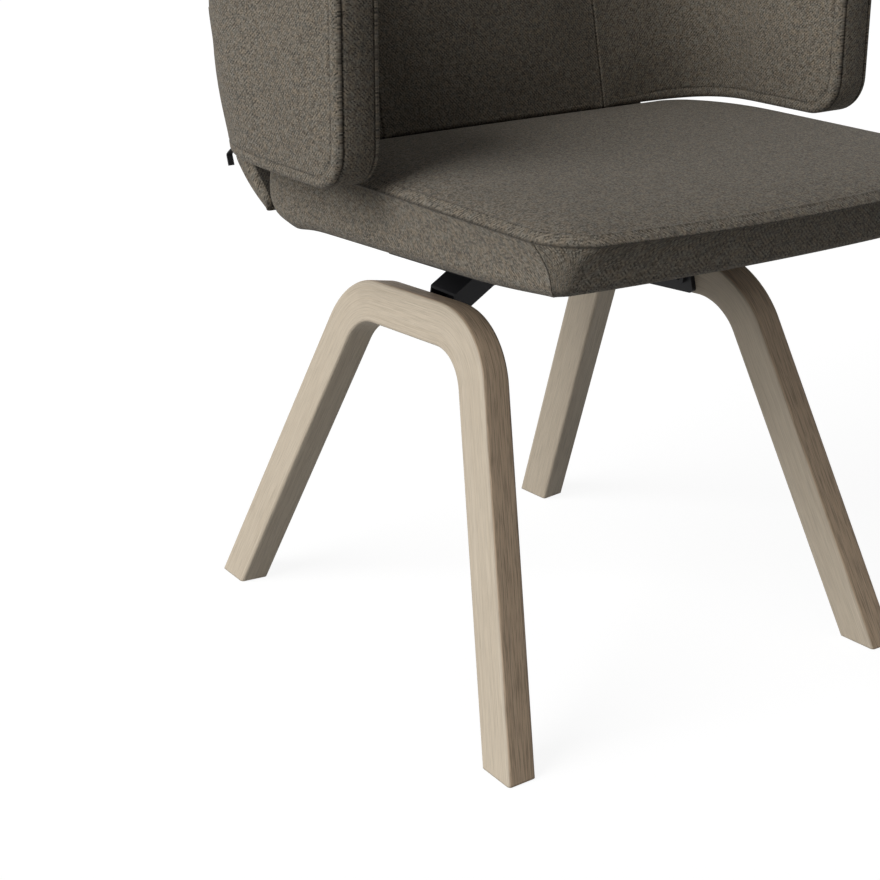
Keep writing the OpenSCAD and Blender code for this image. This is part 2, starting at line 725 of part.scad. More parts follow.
// How far back the arms' outer face reaches at a place across the chair
function arm_back_y(x) = let(
        share = min(1, max(0, (abs(x) - panel_half) / (arm_outer - panel_half)))
    ) outer_path(acos(pow(share, 1 / turn_power)))[1];
module back_tail() {
    steps = 9;
    angles = [for (i = [0:steps]) tail_from + (tail_to - tail_from) * i / steps];
    outline = concat(
        [for (a = angles) on_arc(tail_radius, a)],
        [for (i = [0:steps]) tail_inner(angles[steps - i])]
    );
    spine = [for (i = [0:len(outline) - 1]) (outline[i] + outline[len(outline) - 1 - i]) / 2];
    half_stations = [[0.56, 1], [0.66, 1], [0.76, 1], [0.87, 1], [0.975, 1], [0.99, 0.8], [1, 0.4]];
    count = len(half_stations);
    stations = concat(
        [for (i = [1:count]) [-half_stations[count - i][0], half_stations[count - i][1]]],
        half_stations
    );
    rings = [
        for (s = stations) let(x = s[0] * tail_half, limit = arm_back_y(x) + tail_proud) [
            for (i = [0:len(outline) - 1]) let(p = spine[i] + (outline[i] - spine[i]) * s[1])
                [x, min(p[0], limit), p[1]]
        ]
    ];
    middle = spine[4];
    color(fabric) skin(
        rings, [-tail_half, middle[0], middle[1]], [tail_half, middle[0], middle[1]]
    );
}

// Steel brackets that carry the back from the carriage's hinge
hinge_at = [tilted_y(hinge_y, hinge_z), tilted_z(hinge_y, hinge_z)];
follower_at = [tilted_y(follower_y, follower_z), tilted_z(follower_y, follower_z)];
strap_thick = 5;
strap_r = tail_radius + part_gap;
strap_from = 26;
strap_to = 43;
strap_width = 22;
knee = [seat_rear - 2, carriage_low - 10];
module bar_between(a, b, width) {
    angle = atan2(b[1] - a[1], b[0] - a[0]);
    translate(a) rotate(angle) translate([0, -width / 2]) square([norm(b - a), width]);
}
// Side view of a bracket, drawn with y to the right and z up
module bracket_outline() {
    strap_mid = strap_r + strap_thick / 2;
    translate(hinge_at) circle(r = eye_r);
    translate(follower_at) circle(r = follower_r + 4);
    bar_between(follower_at, hinge_at, 2 * (follower_r + 2));
    polygon([
        hinge_at + [0, 4.5], knee + [-3, 3.5], on_arc(strap_mid, strap_from),
        on_arc(strap_mid, strap_from + 8), knee + [4, -4.5], hinge_at - [0, 4.5]
    ]);
}
// Side view of the strap that follows the tail's outer arc
module strap_arc() {
    steps = 12;
    turns = [for (i = [0:steps]) strap_from + (strap_to - strap_from) * i / steps];
    polygon(concat(
        [for (a = turns) on_arc(strap_r, a)],
        [for (i = [0:steps]) on_arc(strap_r + strap_thick, turns[steps - i])]
    ));
}
screw_angles = [30, 39];
back_screw_in = 14;
module at_back_screws() {
    for (x = [-1, 1], a = screw_angles)
        translate([x * (bracket_x - back_screw_in), tail_centre[0], tail_centre[1]]) rotate([a, 0, 0])
            translate([0, 0, -strap_r - strap_thick]) children();
}
module back_brackets() {
    start = bracket_x - bracket_thick / 2;
    color(black_steel) difference() {
        both_sides() {
            translate([start, 0, 0]) rotate([90, 0, 90]) linear_extrude(bracket_thick) bracket_outline();
            translate([start - strap_width, 0, 0]) rotate([90, 0, 90])
                linear_extrude(strap_width + bracket_thick) strap_arc();
        }
        at_back_screws() translate([0, 0, -1]) cylinder(h = strap_thick + 2, r = screw_r + 0.3);
        both_sides() translate([start - 1, hinge_at[0], hinge_at[1]]) rotate([0, 90, 0])
            cylinder(h = bracket_thick + 2, r = hinge_r + run_gap);
        both_sides() translate([start - 1, follower_at[0], follower_at[1]]) rotate([0, 90, 0])
            cylinder(h = bracket_thick + 2, r = follower_r);
    }
}
module follower_rollers() {
    start = bracket_x - bracket_thick / 2;
    span = cam_x + cam_thick - start;
    shoulder = bracket_thick + 6;
    color(bright_steel) tilted() both_sides() translate([start, follower_y, follower_z])
        rotate([0, 90, 0]) {
            cylinder(h = span + 2, r = follower_r - run_gap);
            translate([0, 0, shoulder]) cylinder(h = span + 1 - shoulder, r = follower_r + 1.5);
        }
}
module back_screws() {
    color(black_steel) at_back_screws() translate([0, 0, -2.5 - run_gap]) {
        cylinder(h = 2.5, r = screw_r + 2.5);
        cylinder(h = 2.5 + strap_thick, r = screw_r - run_gap);
    }
}

// Folded cloth tab at the left end of the tail's top seam
tab_width = 10;
tab_inset = 3;
tab_fold = [12, -15];
tab_end = [6, -19.5];
module rear_tab() {
    root = on_arc(tail_radius, 54);
    face = min(root[0], arm_back_y(tail_half - tab_inset - tab_width) + tail_proud);
    color(nylon) translate([-tail_half + tab_inset, face + 0.9, root[1]])
        rotate([90, 0, 90]) linear_extrude(tab_width) {
            bar_between([0, 0], tab_fold, 1.6);
            bar_between(tab_fold, tab_end, 1.6);
            translate(tab_fold) circle(r = 0.8, $fn = 16);
        }
}

// Depth of the whole chair, from the bow of the seat to the heels of the rear feet
heel_v = (glide_proud + bar_edge * sin(lean_angle)) / cos(lean_angle);
heel_u = foot_pitch + bar_width / cos(rear_rake) - heel_v * tan(rear_rake);
heel_y = frame_place(heel_u, heel_v, bar_edge)[1];
toe_x = (seat_half - front_corner_r) / edge_steps;
toe_y = -seat_front - seat_bow * (1 - pow(toe_x / seat_half, 2));
mid_y = (heel_y + toe_y) / 2;

module settle() {
    translate([0, -mid_y, 0]) children();
}
settle() left_leg_frame();
settle() right_leg_frame();
settle() foot_glides();
settle() cross_beam();
settle() left_flange();
settle() right_flange();
settle() leg_inserts();
settle() leg_bolts();
settle() glide_base();
settle() rod_blocks();
settle() guide_rods();
settle() cam_plates();
settle() seat_carriage();
settle() bush_blocks();
settle() rod_bushes();
settle() hinge_pins();
settle() seat_pan();
settle() seat_screws();
settle() underside_cover();
settle() seat_cushion();
settle() back_brackets();
settle() follower_rollers();
settle() back_screws();
settle() back_tail();
settle() back_panel();
settle() left_arm();
settle() right_arm();
settle() rear_tab();
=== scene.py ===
# %% [markdown]
# # A dining armchair on bent-wood side frames
# The chair has two bent bars of whitewashed oak laminate, a black steel beam with a glide,
# and an upholstered seat and back in a taupe melange weave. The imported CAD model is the
# fixed frame of this scene: its steel, screws and bushes stay as they are and only get
# finishes, while the wood, the seat board and the soft parts become finer surfaces.

import json
import math

import bpy
import numpy as np
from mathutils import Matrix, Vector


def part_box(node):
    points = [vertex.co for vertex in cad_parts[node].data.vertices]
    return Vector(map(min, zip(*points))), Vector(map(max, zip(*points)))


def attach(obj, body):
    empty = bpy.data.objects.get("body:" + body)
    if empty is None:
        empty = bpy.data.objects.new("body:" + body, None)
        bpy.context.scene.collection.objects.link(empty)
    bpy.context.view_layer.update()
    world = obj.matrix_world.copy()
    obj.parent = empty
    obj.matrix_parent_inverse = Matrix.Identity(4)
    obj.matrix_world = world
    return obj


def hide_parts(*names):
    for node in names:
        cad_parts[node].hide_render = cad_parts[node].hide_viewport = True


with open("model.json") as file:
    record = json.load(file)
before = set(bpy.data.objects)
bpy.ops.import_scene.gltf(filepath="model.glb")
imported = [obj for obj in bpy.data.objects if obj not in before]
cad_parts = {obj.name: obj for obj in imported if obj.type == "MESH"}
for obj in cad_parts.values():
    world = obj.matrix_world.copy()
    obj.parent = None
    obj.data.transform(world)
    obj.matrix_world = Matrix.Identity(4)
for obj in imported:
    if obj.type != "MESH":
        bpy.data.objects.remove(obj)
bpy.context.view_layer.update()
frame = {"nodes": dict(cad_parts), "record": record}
MM = 0.001


def add_object(name, data):
    """Makes an object of that data in the scene's own collection."""
    made = bpy.data.objects.new(name, data)
    bpy.context.scene.collection.objects.link(made)
    return made


# %% [markdown]
# ## Camera
# A perspective fit to the three visible legs gives the place and the lens. The lens follows
# from a focal length of 1880 pixels over an image 880 pixels wide.

# %% The camera of the photograph
SENSOR, FOCAL_PIXELS, IMAGE_PIXELS = 36.0, 1880.0, 880.0
VIEW_FROM, VIEW_DOWN, VIEW_TURN = (-1.0528, -1.27976, 0.8107), 20.56, 35.28
camera_data = bpy.data.cameras.new("dining_view")
camera_data.sensor_width = SENSOR
camera_data.lens = FOCAL_PIXELS / IMAGE_PIXELS * SENSOR
camera = add_object("dining_view", camera_data)
camera.location = VIEW_FROM
camera.rotation_euler = (math.radians(90 - VIEW_DOWN), 0, math.radians(-VIEW_TURN))
bpy.context.scene.camera = camera
print("lens:", round(camera_data.lens, 1), "mm")

# %% [markdown]
# ## Helpers for node trees
# Each finish is a small node tree. One helper places a node and fills its sockets, two open
# and close a group with named inputs and outputs, and the others are one node each.


# %% Helpers for node trees
def place(tree, kind, settings=None, **inputs):
    """Places a node. settings are its own options; inputs are values or sockets to link."""
    made = tree.nodes.new(kind)
    for name, value in (settings or {}).items():
        setattr(made, name, value)
    for name, value in inputs.items():
        key = int(name[1:]) if name[0] == "i" and name[1:].isdigit() else name.replace("_", " ")
        if isinstance(value, bpy.types.NodeSocket):
            tree.links.new(value, made.inputs[key])
        else:
            made.inputs[key].default_value = value
    return made


def socket_kind(is_color):
    """Sockets of the groups are colours or single values."""
    return "NodeSocketColor" if is_color else "NodeSocketFloat"


def open_group(name, results, **inputs):
    """Starts a shader node group with a vector and the named inputs, of which those with four
    numbers are colours, and the named results; returns its tree and its inputs."""
    tree = bpy.data.node_groups.new(name, "ShaderNodeTree")
    new_socket = tree.interface.new_socket
    new_socket("Vector", in_out="INPUT", socket_type="NodeSocketVector")
    for label, value in inputs.items():
        kind = socket_kind(isinstance(value, tuple))
        new_socket(label, in_out="INPUT", socket_type=kind).default_value = value
    for label in results:
        new_socket(label, in_out="OUTPUT", socket_type=socket_kind(label == "Color"))
    return tree, tree.nodes.new("NodeGroupInput").outputs


def close_group(tree, **results):
    """Links the results to the group's outputs by name; returns the tree."""
    place(tree, "NodeGroupOutput", **results)
    print(tree.name, "nodes:", len(tree.nodes))
    return tree


def maths(tree, operation, a, b=0.0, c=0.0):
    """One Math node; returns its output socket."""
    return place(tree, "ShaderNodeMath", {"operation": operation}, i0=a, i1=b, i2=c).outputs[0]


def times(tree, a, b):
    """a x b."""
    return maths(tree, "MULTIPLY", a, b)


def plus(tree, a, b):
    """a + b."""
    return maths(tree, "ADD", a, b)


def minus(tree, a, b):
    """a - b."""
    return maths(tree, "SUBTRACT", a, b)


def times_plus(tree, a, b, c):
    """a x b + c."""
    return maths(tree, "MULTIPLY_ADD", a, b, c)


def scaled(tree, vector, scale):
    """The vector or colour times a scale on each axis."""
    made = place(tree, "ShaderNodeVectorMath", {"operation": "MULTIPLY"}, i0=vector, i1=scale)
    return made.outputs[0]


def shaded(tree, color, value):
    """The colour times one value."""
    made = place(tree, "ShaderNodeVectorMath", {"operation": "SCALE"}, i0=color, Scale=value)
    return made.outputs[0]


def noise(tree, vector, scale, detail=2.0, roughness=0.5):
    """Noise value from 0 to 1 at that many cells a metre."""
    inputs = {"Vector": vector, "Scale": scale, "Detail": detail, "Roughness": roughness}
    return place(tree, "ShaderNodeTexNoise", **inputs).outputs[0]


def random_shade(tree, dimensions, **inputs):
    """A value from 0 to 1 that is the same for equal inputs."""
    settings = {"noise_dimensions": dimensions}
    return place(tree, "ShaderNodeTexWhiteNoise", settings, **inputs).outputs[0]


def spread(tree, value, low, high, to_low=0.0, to_high=1.0):
    """Stretches a value from one range to another, clamped."""
    inputs = {"i0": value, "i1": low, "i2": high, "i3": to_low, "i4": to_high}
    return place(tree, "ShaderNodeMapRange", **inputs).outputs[0]


def mixed(tree, factor, a, b):
    """Colour between a and b."""
    made = place(tree, "ShaderNodeMix", {"data_type": "RGBA"}, i0=factor, i6=a, i7=b)
    return made.outputs[2]


# %% [markdown]
# ## The melange weave
# The cover is a wool twill of mixed yarns: each float passes over two threads, and the floats
# step sideways by one thread in each row, which gives the faint diagonal. The group counts
# threads from a position in metres, finds which float is on top, and gives every float its own
# shade. Its height rounds each float across and also paints shade into the gaps between the
# threads, and a mask paints shade into the seams, the stitching and other shaded spots.

# %% Group: melange weave
THREAD_SWING, WEFT_LIFT, WARP_NUMBER = 0.74, 0.26, 7.0
FIBRE_CELLS, CLOUD_CELLS, HUE_CELLS = 1100.0, 90.0, 190.0
FIBRE_SHARE, DRIFT, PAINTED_SHADE_LEFT = 0.16, 0.14, 0.38
CROWN_LIGHT, GAP_LIGHT = 0.22, 0.82
WARM, COOL = (1.05, 0.99, 0.92, 1), (0.96, 1.0, 1.03, 1)


def make_weave_group():
    """Tone = the shade of the float on top, plus fibre noise and a slow drift; the colour then
    takes painted shade in the thread gaps and where the mask is set.
    """
    tree, given = open_group(
        "melange_weave",
        ("Color", "Height"),
        Pitch=0.0007,
        Seam=0.0,
        Light=(0.2, 0.18, 0.15, 1),
        Dark=(0.08, 0.07, 0.06, 1),
    )
    vector = given["Vector"]
    axes = place(tree, "ShaderNodeSeparateXYZ", i0=vector).outputs
    place_u, place_v = (maths(tree, "DIVIDE", axes[k], given["Pitch"]) for k in (0, 1))
    thread_u, thread_v = (maths(tree, "FLOOR", value) for value in (place_u, place_v))

    def float_number(place_along, thread_across):
        """Number of the float: it is two threads long and starts one thread on in each row."""
        step = times(tree, maths(tree, "MODULO", thread_across, 2.0), 0.5)
        return maths(tree, "FLOOR", times_plus(tree, place_along, 0.5, step))

    def shade(number_u, number_v, kind):
        """A shade from 0 to 1 for one float."""
        cell = place(tree, "ShaderNodeCombineXYZ", i0=number_u, i1=number_v, i2=kind).outputs[0]
        return random_shade(tree, "3D", Vector=cell)

    def rounding(value):
        """Height across a thread: zero at its edges, one on its crown."""
        return maths(tree, "SINE", times(tree, maths(tree, "FRACT", value), math.pi))

    weft = shade(float_number(place_u, thread_v), thread_v, 0.0)
    warp = shade(thread_u, float_number(place_v, thread_u), WARP_NUMBER)
    diagonal = maths(tree, "FLOORED_MODULO", plus(tree, thread_u, thread_v), 4.0)
    over = maths(tree, "LESS_THAN", diagonal, 1.5)
    under = minus(tree, 1.0, over)
    weft = times_plus(tree, weft, THREAD_SWING, WEFT_LIFT)
    warp = times(tree, warp, THREAD_SWING)
    thread = times_plus(tree, weft, over, times(tree, warp, under))
    round_v = times(tree, rounding(place_v), over)
    height = times_plus(tree, rounding(place_u), under, round_v)
    fibre = noise(tree, vector, FIBRE_CELLS, 2.0, 0.6)
    cloud = noise(tree, vector, CLOUD_CELLS, 3.0, 0.6)
    drift = times(tree, minus(tree, cloud, 0.5), DRIFT)
    tone = times_plus(tree, fibre, FIBRE_SHARE, times(tree, thread, 1 - FIBRE_SHARE))
    share = spread(tree, plus(tree, tone, drift), 0.05, 0.95)
    color = mixed(tree, share, given["Dark"], given["Light"])
    hue = spread(tree, noise(tree, vector, HUE_CELLS), 0.35, 0.65)
    color = scaled(tree, color, mixed(tree, hue, WARM, COOL))
    # painted shade: the colour darkens in the gaps between threads and brightens on their crowns
    shadow = times_plus(tree, height, CROWN_LIGHT, GAP_LIGHT)
    # painted shade where the mask is set: seams, stitching, the seat's front panel, the tail's
    # inside
    shadow = times(tree, shadow, spread(tree, given["Seam"], 0.0, 1.0, 1.0, PAINTED_SHADE_LEFT))
    height = times_plus(tree, fibre, 0.5, height)
    return close_group(tree, Color=shaded(tree, color, shadow), Height=height)


weave_group = make_weave_group()

# %% [markdown]
# ## The oak grain
# The bar is glued from thin layers that follow its bends. Its mesh carries three distances as
# an attribute: along the bar, down through the layers, and across its thickness. Lines between
# layers depend only on the second, and the grain's fine streaks are long along the first.

# %% Group: layered oak grain
STREAK_DARK, BROAD_DARK, LAYER_DARK, GLUE_DARK = 0.42, 0.18, 0.14, 0.26
PORE_DARK, FACE_PORE_AND_SHADE_DARK, FACE_GRAIN_AND_SHADE_TINT = 0.15, 0.27, (1.08, 0.95, 0.85)


def make_grain_group():
    """Colour = pale oak, darkened by streaks along the bar, pores and glue lines; the outermost
    layer is browner, with deeper pores: partly its own face grain, partly painted shade on that
    face."""
    tree, given = open_group(
        "layered_grain",
        ("Color", "Roughness", "Height"),
        Pale=(0.62, 0.54, 0.43, 1),
        Streak=(0.46, 0.38, 0.28, 1),
        Layer=0.0021,
    )
    down = place(tree, "ShaderNodeSeparateXYZ", i0=given["Vector"]).outputs[1]

    def fibres(cells, detail=2.0, roughness=0.5):
        """Noise with its own number of cells a metre along the bar, down and across."""
        return noise(tree, scaled(tree, given["Vector"], cells), 1.0, detail, roughness)

    wandered = times_plus(tree, fibres((3.0, 60.0, 60.0)), 0.0004, down)
    layers = maths(tree, "DIVIDE", wandered, given["Layer"])
    from_middle = maths(tree, "ABSOLUTE", minus(tree, maths(tree, "FRACT", layers), 0.5))
    glue = spread(tree, from_middle, 0.36, 0.5)
    shade = random_shade(tree, "1D", W=maths(tree, "FLOOR", layers))
    streak = fibres((9.0, 620.0, 420.0), 4.0, 0.62)
    broad = spread(tree, fibres((4.0, 90.0, 90.0)), 0.3, 0.7)
    pore = spread(tree, fibres((32.0, 900.0, 780.0), 3.0, 0.6), 0.45, 0.63)
    face = spread(tree, down, 0.0002, 0.0009, 1.0, 0.0)
    amount = times(tree, spread(tree, streak, 0.3, 0.75), STREAK_DARK)
    for mark, dark in ((broad, BROAD_DARK), (shade, LAYER_DARK), (glue, GLUE_DARK)):
        amount = times_plus(tree, mark, dark, amount)
    color = mixed(tree, amount, given["Pale"], given["Streak"])
    # outer face: browner with deeper pores, partly its own face grain and partly painted shade
    color = mixed(tree, face, color, scaled(tree, color, FACE_GRAIN_AND_SHADE_TINT))
    loss = times(tree, pore, times_plus(tree, face, FACE_PORE_AND_SHADE_DARK, PORE_DARK))
    return close_group(
        tree,
        Color=shaded(tree, color, minus(tree, 1.0, loss)),
        Roughness=times_plus(tree, streak, 0.18, 0.5),
        Height=minus(tree, times(tree, streak, 0.5), pore),
    )


grain_group = make_grain_group()

# %% [markdown]
# ## Powder coat, plate and plastic
# The other finishes differ from plain colours only by fine unevenness: orange peel on powder
# coat, turning marks on plated steel, moulding texture on nylon. One group serves them all,
# with the scale and the strength of the unevenness as inputs.


# %% Group: fine unevenness
def make_uneven_group():
    """Colour times a slow variation; roughness follows it, and the height is a fine noise."""
    tree, given = open_group(
        "fine_unevenness",
        ("Color", "Roughness", "Height"),
        Color=(0.5, 0.5, 0.5, 1),
        Roughness=0.4,
        Cells=900.0,
        Variation=0.2,
    )
    slow = noise(tree, given["Vector"], 22.0, 4.0, 0.6)
    swing = times(tree, minus(tree, slow, 0.5), given["Variation"])
    return close_group(
        tree,
        Color=shaded(tree, given["Color"], plus(tree, 1.0, swing)),
        Roughness=times_plus(tree, swing, 0.8, given["Roughness"]),
        Height=noise(tree, given["Vector"], given["Cells"]),
    )


uneven_group = make_uneven_group()


# %% Finishes from the groups
def new_material(name):
    """An empty material with a Principled surface; returns the material, tree and surface."""
    material = bpy.data.materials.new(name)
    material.use_nodes = True
    tree = material.node_tree
    return material, tree, tree.nodes["Principled BSDF"]


def feed(tree, surface, group, lift, strength, **inputs):
    """Feeds a group's colour, roughness and height to the surface; lift is in metres."""
    made = place(tree, "ShaderNodeGroup", {"node_tree": group}, **inputs).outputs
    tree.links.new(made["Color"], surface.inputs["Base Color"])
    if "Roughness" in made:
        tree.links.new(made["Roughness"], surface.inputs["Roughness"])
    bump = place(tree, "ShaderNodeBump", Strength=strength, Distance=lift, Height=made["Height"])
    tree.links.new(bump.outputs[0], surface.inputs["Normal"])


def set_values(surface, **values):
    """Sets the surface's own constants; an underscore in a name stands for a space."""
    for name, value in values.items():
        surface.inputs[name.replace("_", " ")].default_value = value


def make_fabric(name, light, dark, pitch):
    """Wool weave that reads the piece's own weave map, in metres, and its mask of painted shade.
    """
    material, tree, surface = new_material(name)
    inputs = {"Pitch": pitch, "Light": (*light, 1), "Dark": (*dark, 1)}
    inputs["Vector"] = place(tree, "ShaderNodeUVMap", {"uv_map": "weave"}).outputs[0]
    mask = place(tree, "ShaderNodeAttribute", {"attribute_name": "seam"})
    feed(tree, surface, weave_group, 0.00018, 0.7, Seam=mask.outputs["Fac"], **inputs)
    set_values(surface, Roughness=0.92, Specular_IOR_Level=0.25)
    set_values(surface, Sheen_Weight=0.06, Sheen_Roughness=0.5)
    return material


def make_oak(name):
    """Whitewashed oak that reads the bar's own three distances."""
    material, tree, surface = new_material(name)
    chart = place(tree, "ShaderNodeAttribute", {"attribute_name": "bar_place"})
    feed(tree, surface, grain_group, 0.00012, 0.7, Vector=chart.outputs["Vector"])
    set_values(surface, Specular_IOR_Level=0.35)
    return material


def make_uneven(name, color, roughness, metallic, cells, variation, lift, gloss):
    """Coat, plate or plastic on Object coordinates."""
    material, tree, surface = new_material(name)
    inputs = {"Color": (*color, 1), "Roughness": roughness, "Cells": cells, "Variation": variation}
    inputs["Vector"] = tree.nodes.new("ShaderNodeTexCoord").outputs["Object"]
    feed(tree, surface, uneven_group, lift, 0.6, **inputs)
    set_values(surface, Metallic=metallic, Specular_IOR_Level=gloss)
    return material


finishes = {
    "taupe_fabric": make_fabric("taupe_fabric", (0.285, 0.25, 0.2), (0.03, 0.026, 0.021), 0.0008),
    "whitewashed_oak": make_oak("whitewashed_oak"),
}
# name, colour, roughness, metallic, cells a metre, variation, lift in metres, gloss
for row in (
    ("black_steel", (0.009, 0.009, 0.0105), 0.5, 0.0, 1500.0, 0.25, 0.00008, 0.22),
    ("zinc_steel", (0.55, 0.55, 0.56), 0.32, 1.0, 700.0, 0.2, 0.00008, 0.5),
    ("bright_rod", (0.72, 0.72, 0.74), 0.16, 1.0, 400.0, 0.08, 0.00002, 0.5),
    ("black_nylon", (0.02, 0.02, 0.02), 0.5, 0.0, 1200.0, 0.2, 0.00008, 0.5),
    ("birch_ply", (0.5, 0.38, 0.24), 0.6, 0.0, 300.0, 0.5, 0.00015, 0.5),
    ("cover_cloth", (0.018, 0.018, 0.019), 0.95, 0.0, 1100.0, 0.6, 0.0004, 0.5),
):
    finishes[row[0]] = make_uneven(*row)
print("finishes:", ", ".join(finishes))

# %% [markdown]
# ## Carried-over nodes
# The steel, screws, bushes, rods and feet keep their CAD shapes. Each takes the finish that
# the record names for its slot.

# %% Finishes for the CAD nodes
for row in frame["record"]["subparts"]:
    mesh = frame["nodes"][row["node"]].data
    mesh.materials.clear()
    mesh.materials.append(finishes[row["material_slot"]])

# %% [markdown]
# ## From arrays to a mesh
# Every new piece is a stack of closed loops, computed as one array of rows by columns by three.
# The helper joins neighbouring rows with quads, closes both ends with fans or strips, turns the
# faces outwards, and stores a chart in metres for the weave and a mask of painted shade for the
# seams and other shaded spots.


# %% Helper: closed loft
def grid_quads(rows, columns):
    """Corner numbers of the quads between rows of closed loops, as (row, column, corner)."""
    row = np.arange(rows - 1)[:, None] * columns
    here = np.arange(columns)[None, :]
    after = (here + 1) % columns
    return np.stack([row + here, row + after, row + columns + after, row + columns + here], -1)


def corner_map(chart, wrap=0.0):
    """Chart values (row, column, 2) at the corners of grid_quads; wrap is added past the join."""
    ahead = np.roll(chart, -1, axis=1).copy()
    ahead[:, -1] += wrap
    return np.stack([chart[:-1], ahead[:-1], ahead[1:], chart[1:]], 2)


def end_fans(rows, columns, corners):
    """Triangles from each end loop to its tip, and their chart values."""
    here = np.arange(columns)
    after = (here + 1) % columns
    tip = np.full(columns, rows * columns)
    last = (rows - 1) * columns
    fans = [np.stack([after, here, tip], -1), np.stack([last + here, last + after, tip + 1], -1)]
    ends = [corners[0, :, [1, 0]].transpose(1, 0, 2), corners[-1, :, [3, 2]].transpose(1, 0, 2)]
    middles = [np.broadcast_to(end.mean((0, 1)), (columns, 1, 2)) for end in ends]
    chart = [np.concatenate(pair, 1) for pair in zip(ends, middles)]
    return np.concatenate(fans), np.concatenate(chart)


def end_strips(rows, columns, corners):
    """Quads that join the first half of each end loop to its second half, for a thin or bent
    section, and their chart values."""
    near = np.arange(columns // 2 - 1)
    far = columns - 1 - near
    last = (rows - 1) * columns
    first_strip = np.stack([near + 1, near, far, far - 1], -1)
    last_strip = np.stack([near, near + 1, far - 1, far], -1)
    chart = np.concatenate([corners[0, :, 0][first_strip], corners[-1, :, 3][last_strip]])
    return np.concatenate([first_strip, last + last_strip]), chart


def closed_loft(name, loops, corners, tips=None, seam=None, strips=False):
    """Mesh object from loops (rows, columns, 3) in mm, with the chart at each face's corners
    from corner_map. Fans to the two tips or strips close the ends. seam is a mask of painted
    shade from 0 to 1 on the points, for the seams and other shaded spots."""
    rows, columns = loops.shape[:2]
    points = loops.reshape(-1, 3)
    if strips:
        fans, fan_chart = end_strips(rows, columns, corners)
    else:
        if tips is None:
            tips = (loops[0].mean(0), loops[-1].mean(0))
        points = np.concatenate([points, np.array(tips)])
        fans, fan_chart = end_fans(rows, columns, corners)
    points = points * MM
    quads = grid_quads(rows, columns).reshape(-1, 4)
    a, b, c, d = (points[quads[:, k]] for k in range(4))
    volume = (a * np.cross(b, c)).sum() + (a * np.cross(c, d)).sum()
    chart = [corners.reshape(-1, 4, 2), fan_chart]
    if volume < 0:
        quads, fans = quads[:, ::-1], fans[:, ::-1]
        chart = [chart[0][:, ::-1], chart[1][:, ::-1]]
    mesh = bpy.data.meshes.new(name)
    mesh.from_pydata(points.tolist(), [], quads.tolist() + fans.tolist())
    layer = mesh.uv_layers.new(name="weave")
    flat = np.concatenate([chart[0].reshape(-1, 2), chart[1].reshape(-1, 2)]) * MM
    layer.data.foreach_set("uv", flat.astype(np.float32).ravel())
    if seam is not None:
        marks = np.zeros(len(points))
        marks[: rows * columns] = np.broadcast_to(seam, (rows, columns)).ravel()
        # the seam attribute holds painted shade for the fabric
        layer = mesh.attributes.new("seam", "FLOAT", "POINT")
        layer.data.foreach_set("value", marks.astype(np.float32))
    mesh.polygons.foreach_set("use_smooth", np.ones(len(mesh.polygons), bool))
    mesh.update()
    print(name, "faces:", len(mesh.polygons))
    return add_object(name, mesh)


def dress(piece, body, slot, *nodes):
    """Gives a piece its finish, its body and the CAD nodes that it stands for."""
    piece.data.materials.clear()
    piece.data.materials.append(finishes[slot])
    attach(piece, body)
    if nodes:
        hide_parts(*nodes)
    return piece


# %% [markdown]
# ## Helpers for outlines and profiles
# The outlines are arcs joined by straight runs, and most reliefs are bell curves or smooth
# steps along a distance. Angles are degrees throughout.


# %% Helpers for outlines and profiles
def sind(degrees):
    """Sine of an angle in degrees."""
    return np.sin(np.radians(degrees))


def cosd(degrees):
    """Cosine of an angle in degrees."""
    return np.cos(np.radians(degrees))


def tand(degrees):
    """Tangent of an angle in degrees."""
    return np.tan(np.radians(degrees))


def between(a, b, share):
    """The value or place at that share of the way from a to b."""
    return a + (b - a) * share


def share_past(value, start, span):
    """How far a value has gone past a start over a span, kept between 0 and 1."""
    return np.clip((value - start) / span, 0, 1)


def smooth(value, start, span):
    """Smooth step: s^2 (3 - 2 s), where s is share_past."""
    share = share_past(value, start, span)
    return share**2 * (3 - 2 * share)


def bell(distance, width):
    """Bell curve: exp(-(distance / width)^2)."""
    return np.exp(-((distance / width) ** 2))


def stacked(*axes):
    """Arrays spread to one shape and stacked as the last axis."""
    return np.stack(np.broadcast_arrays(*axes), -1)


def lengths(vectors):
    """Length of each vector."""
    return np.linalg.norm(vectors, axis=-1)


def left_of(directions):
    """Unit vectors that point to the left of directions in a plane."""
    x, y = (directions / lengths(directions)[:, None]).T
    return stacked(-y, x)


def step_over(loop):
    """Vector from the point before to the point after, round a closed polyline."""
    return np.roll(loop, -1, 0) - np.roll(loop, 1, 0)


def run_length(line):
    """Distance along a polyline (points, n), starting at 0."""
    return np.concatenate([[0.0], np.cumsum(lengths(np.diff(line, axis=0)))])


def way_round(loop):
    """Distance along a closed polyline, with the full length as its last value."""
    return run_length(np.vstack([loop, loop[:1]]))


def arc_points(x, y, r, angles):
    """Points on a circle at those angles."""
    return stacked(x + r * cosd(angles), y + r * sind(angles))


def inner_points(a, b, count):
    """The points strictly between two ends, where count includes both ends."""
    return between(a, b, np.linspace(0, 1, count)[1:-1, None])


def joined(arcs, counts):
    """Closed loop of arcs; each straight between two arcs has its count, ends included."""
    loop = []
    for now, after, count in zip(arcs, arcs[1:] + arcs[:1], counts):
        loop += [now, inner_points(now[-1], after[0], count)]
    return np.concatenate(loop)


# %% [markdown]
# ## Sizes shared with the CAD source
# The replaced pieces repeat the source's own sizes, so that they stand exactly where their
# solids stand. Lengths are millimetres in the source's axes, whose y starts at the front feet.

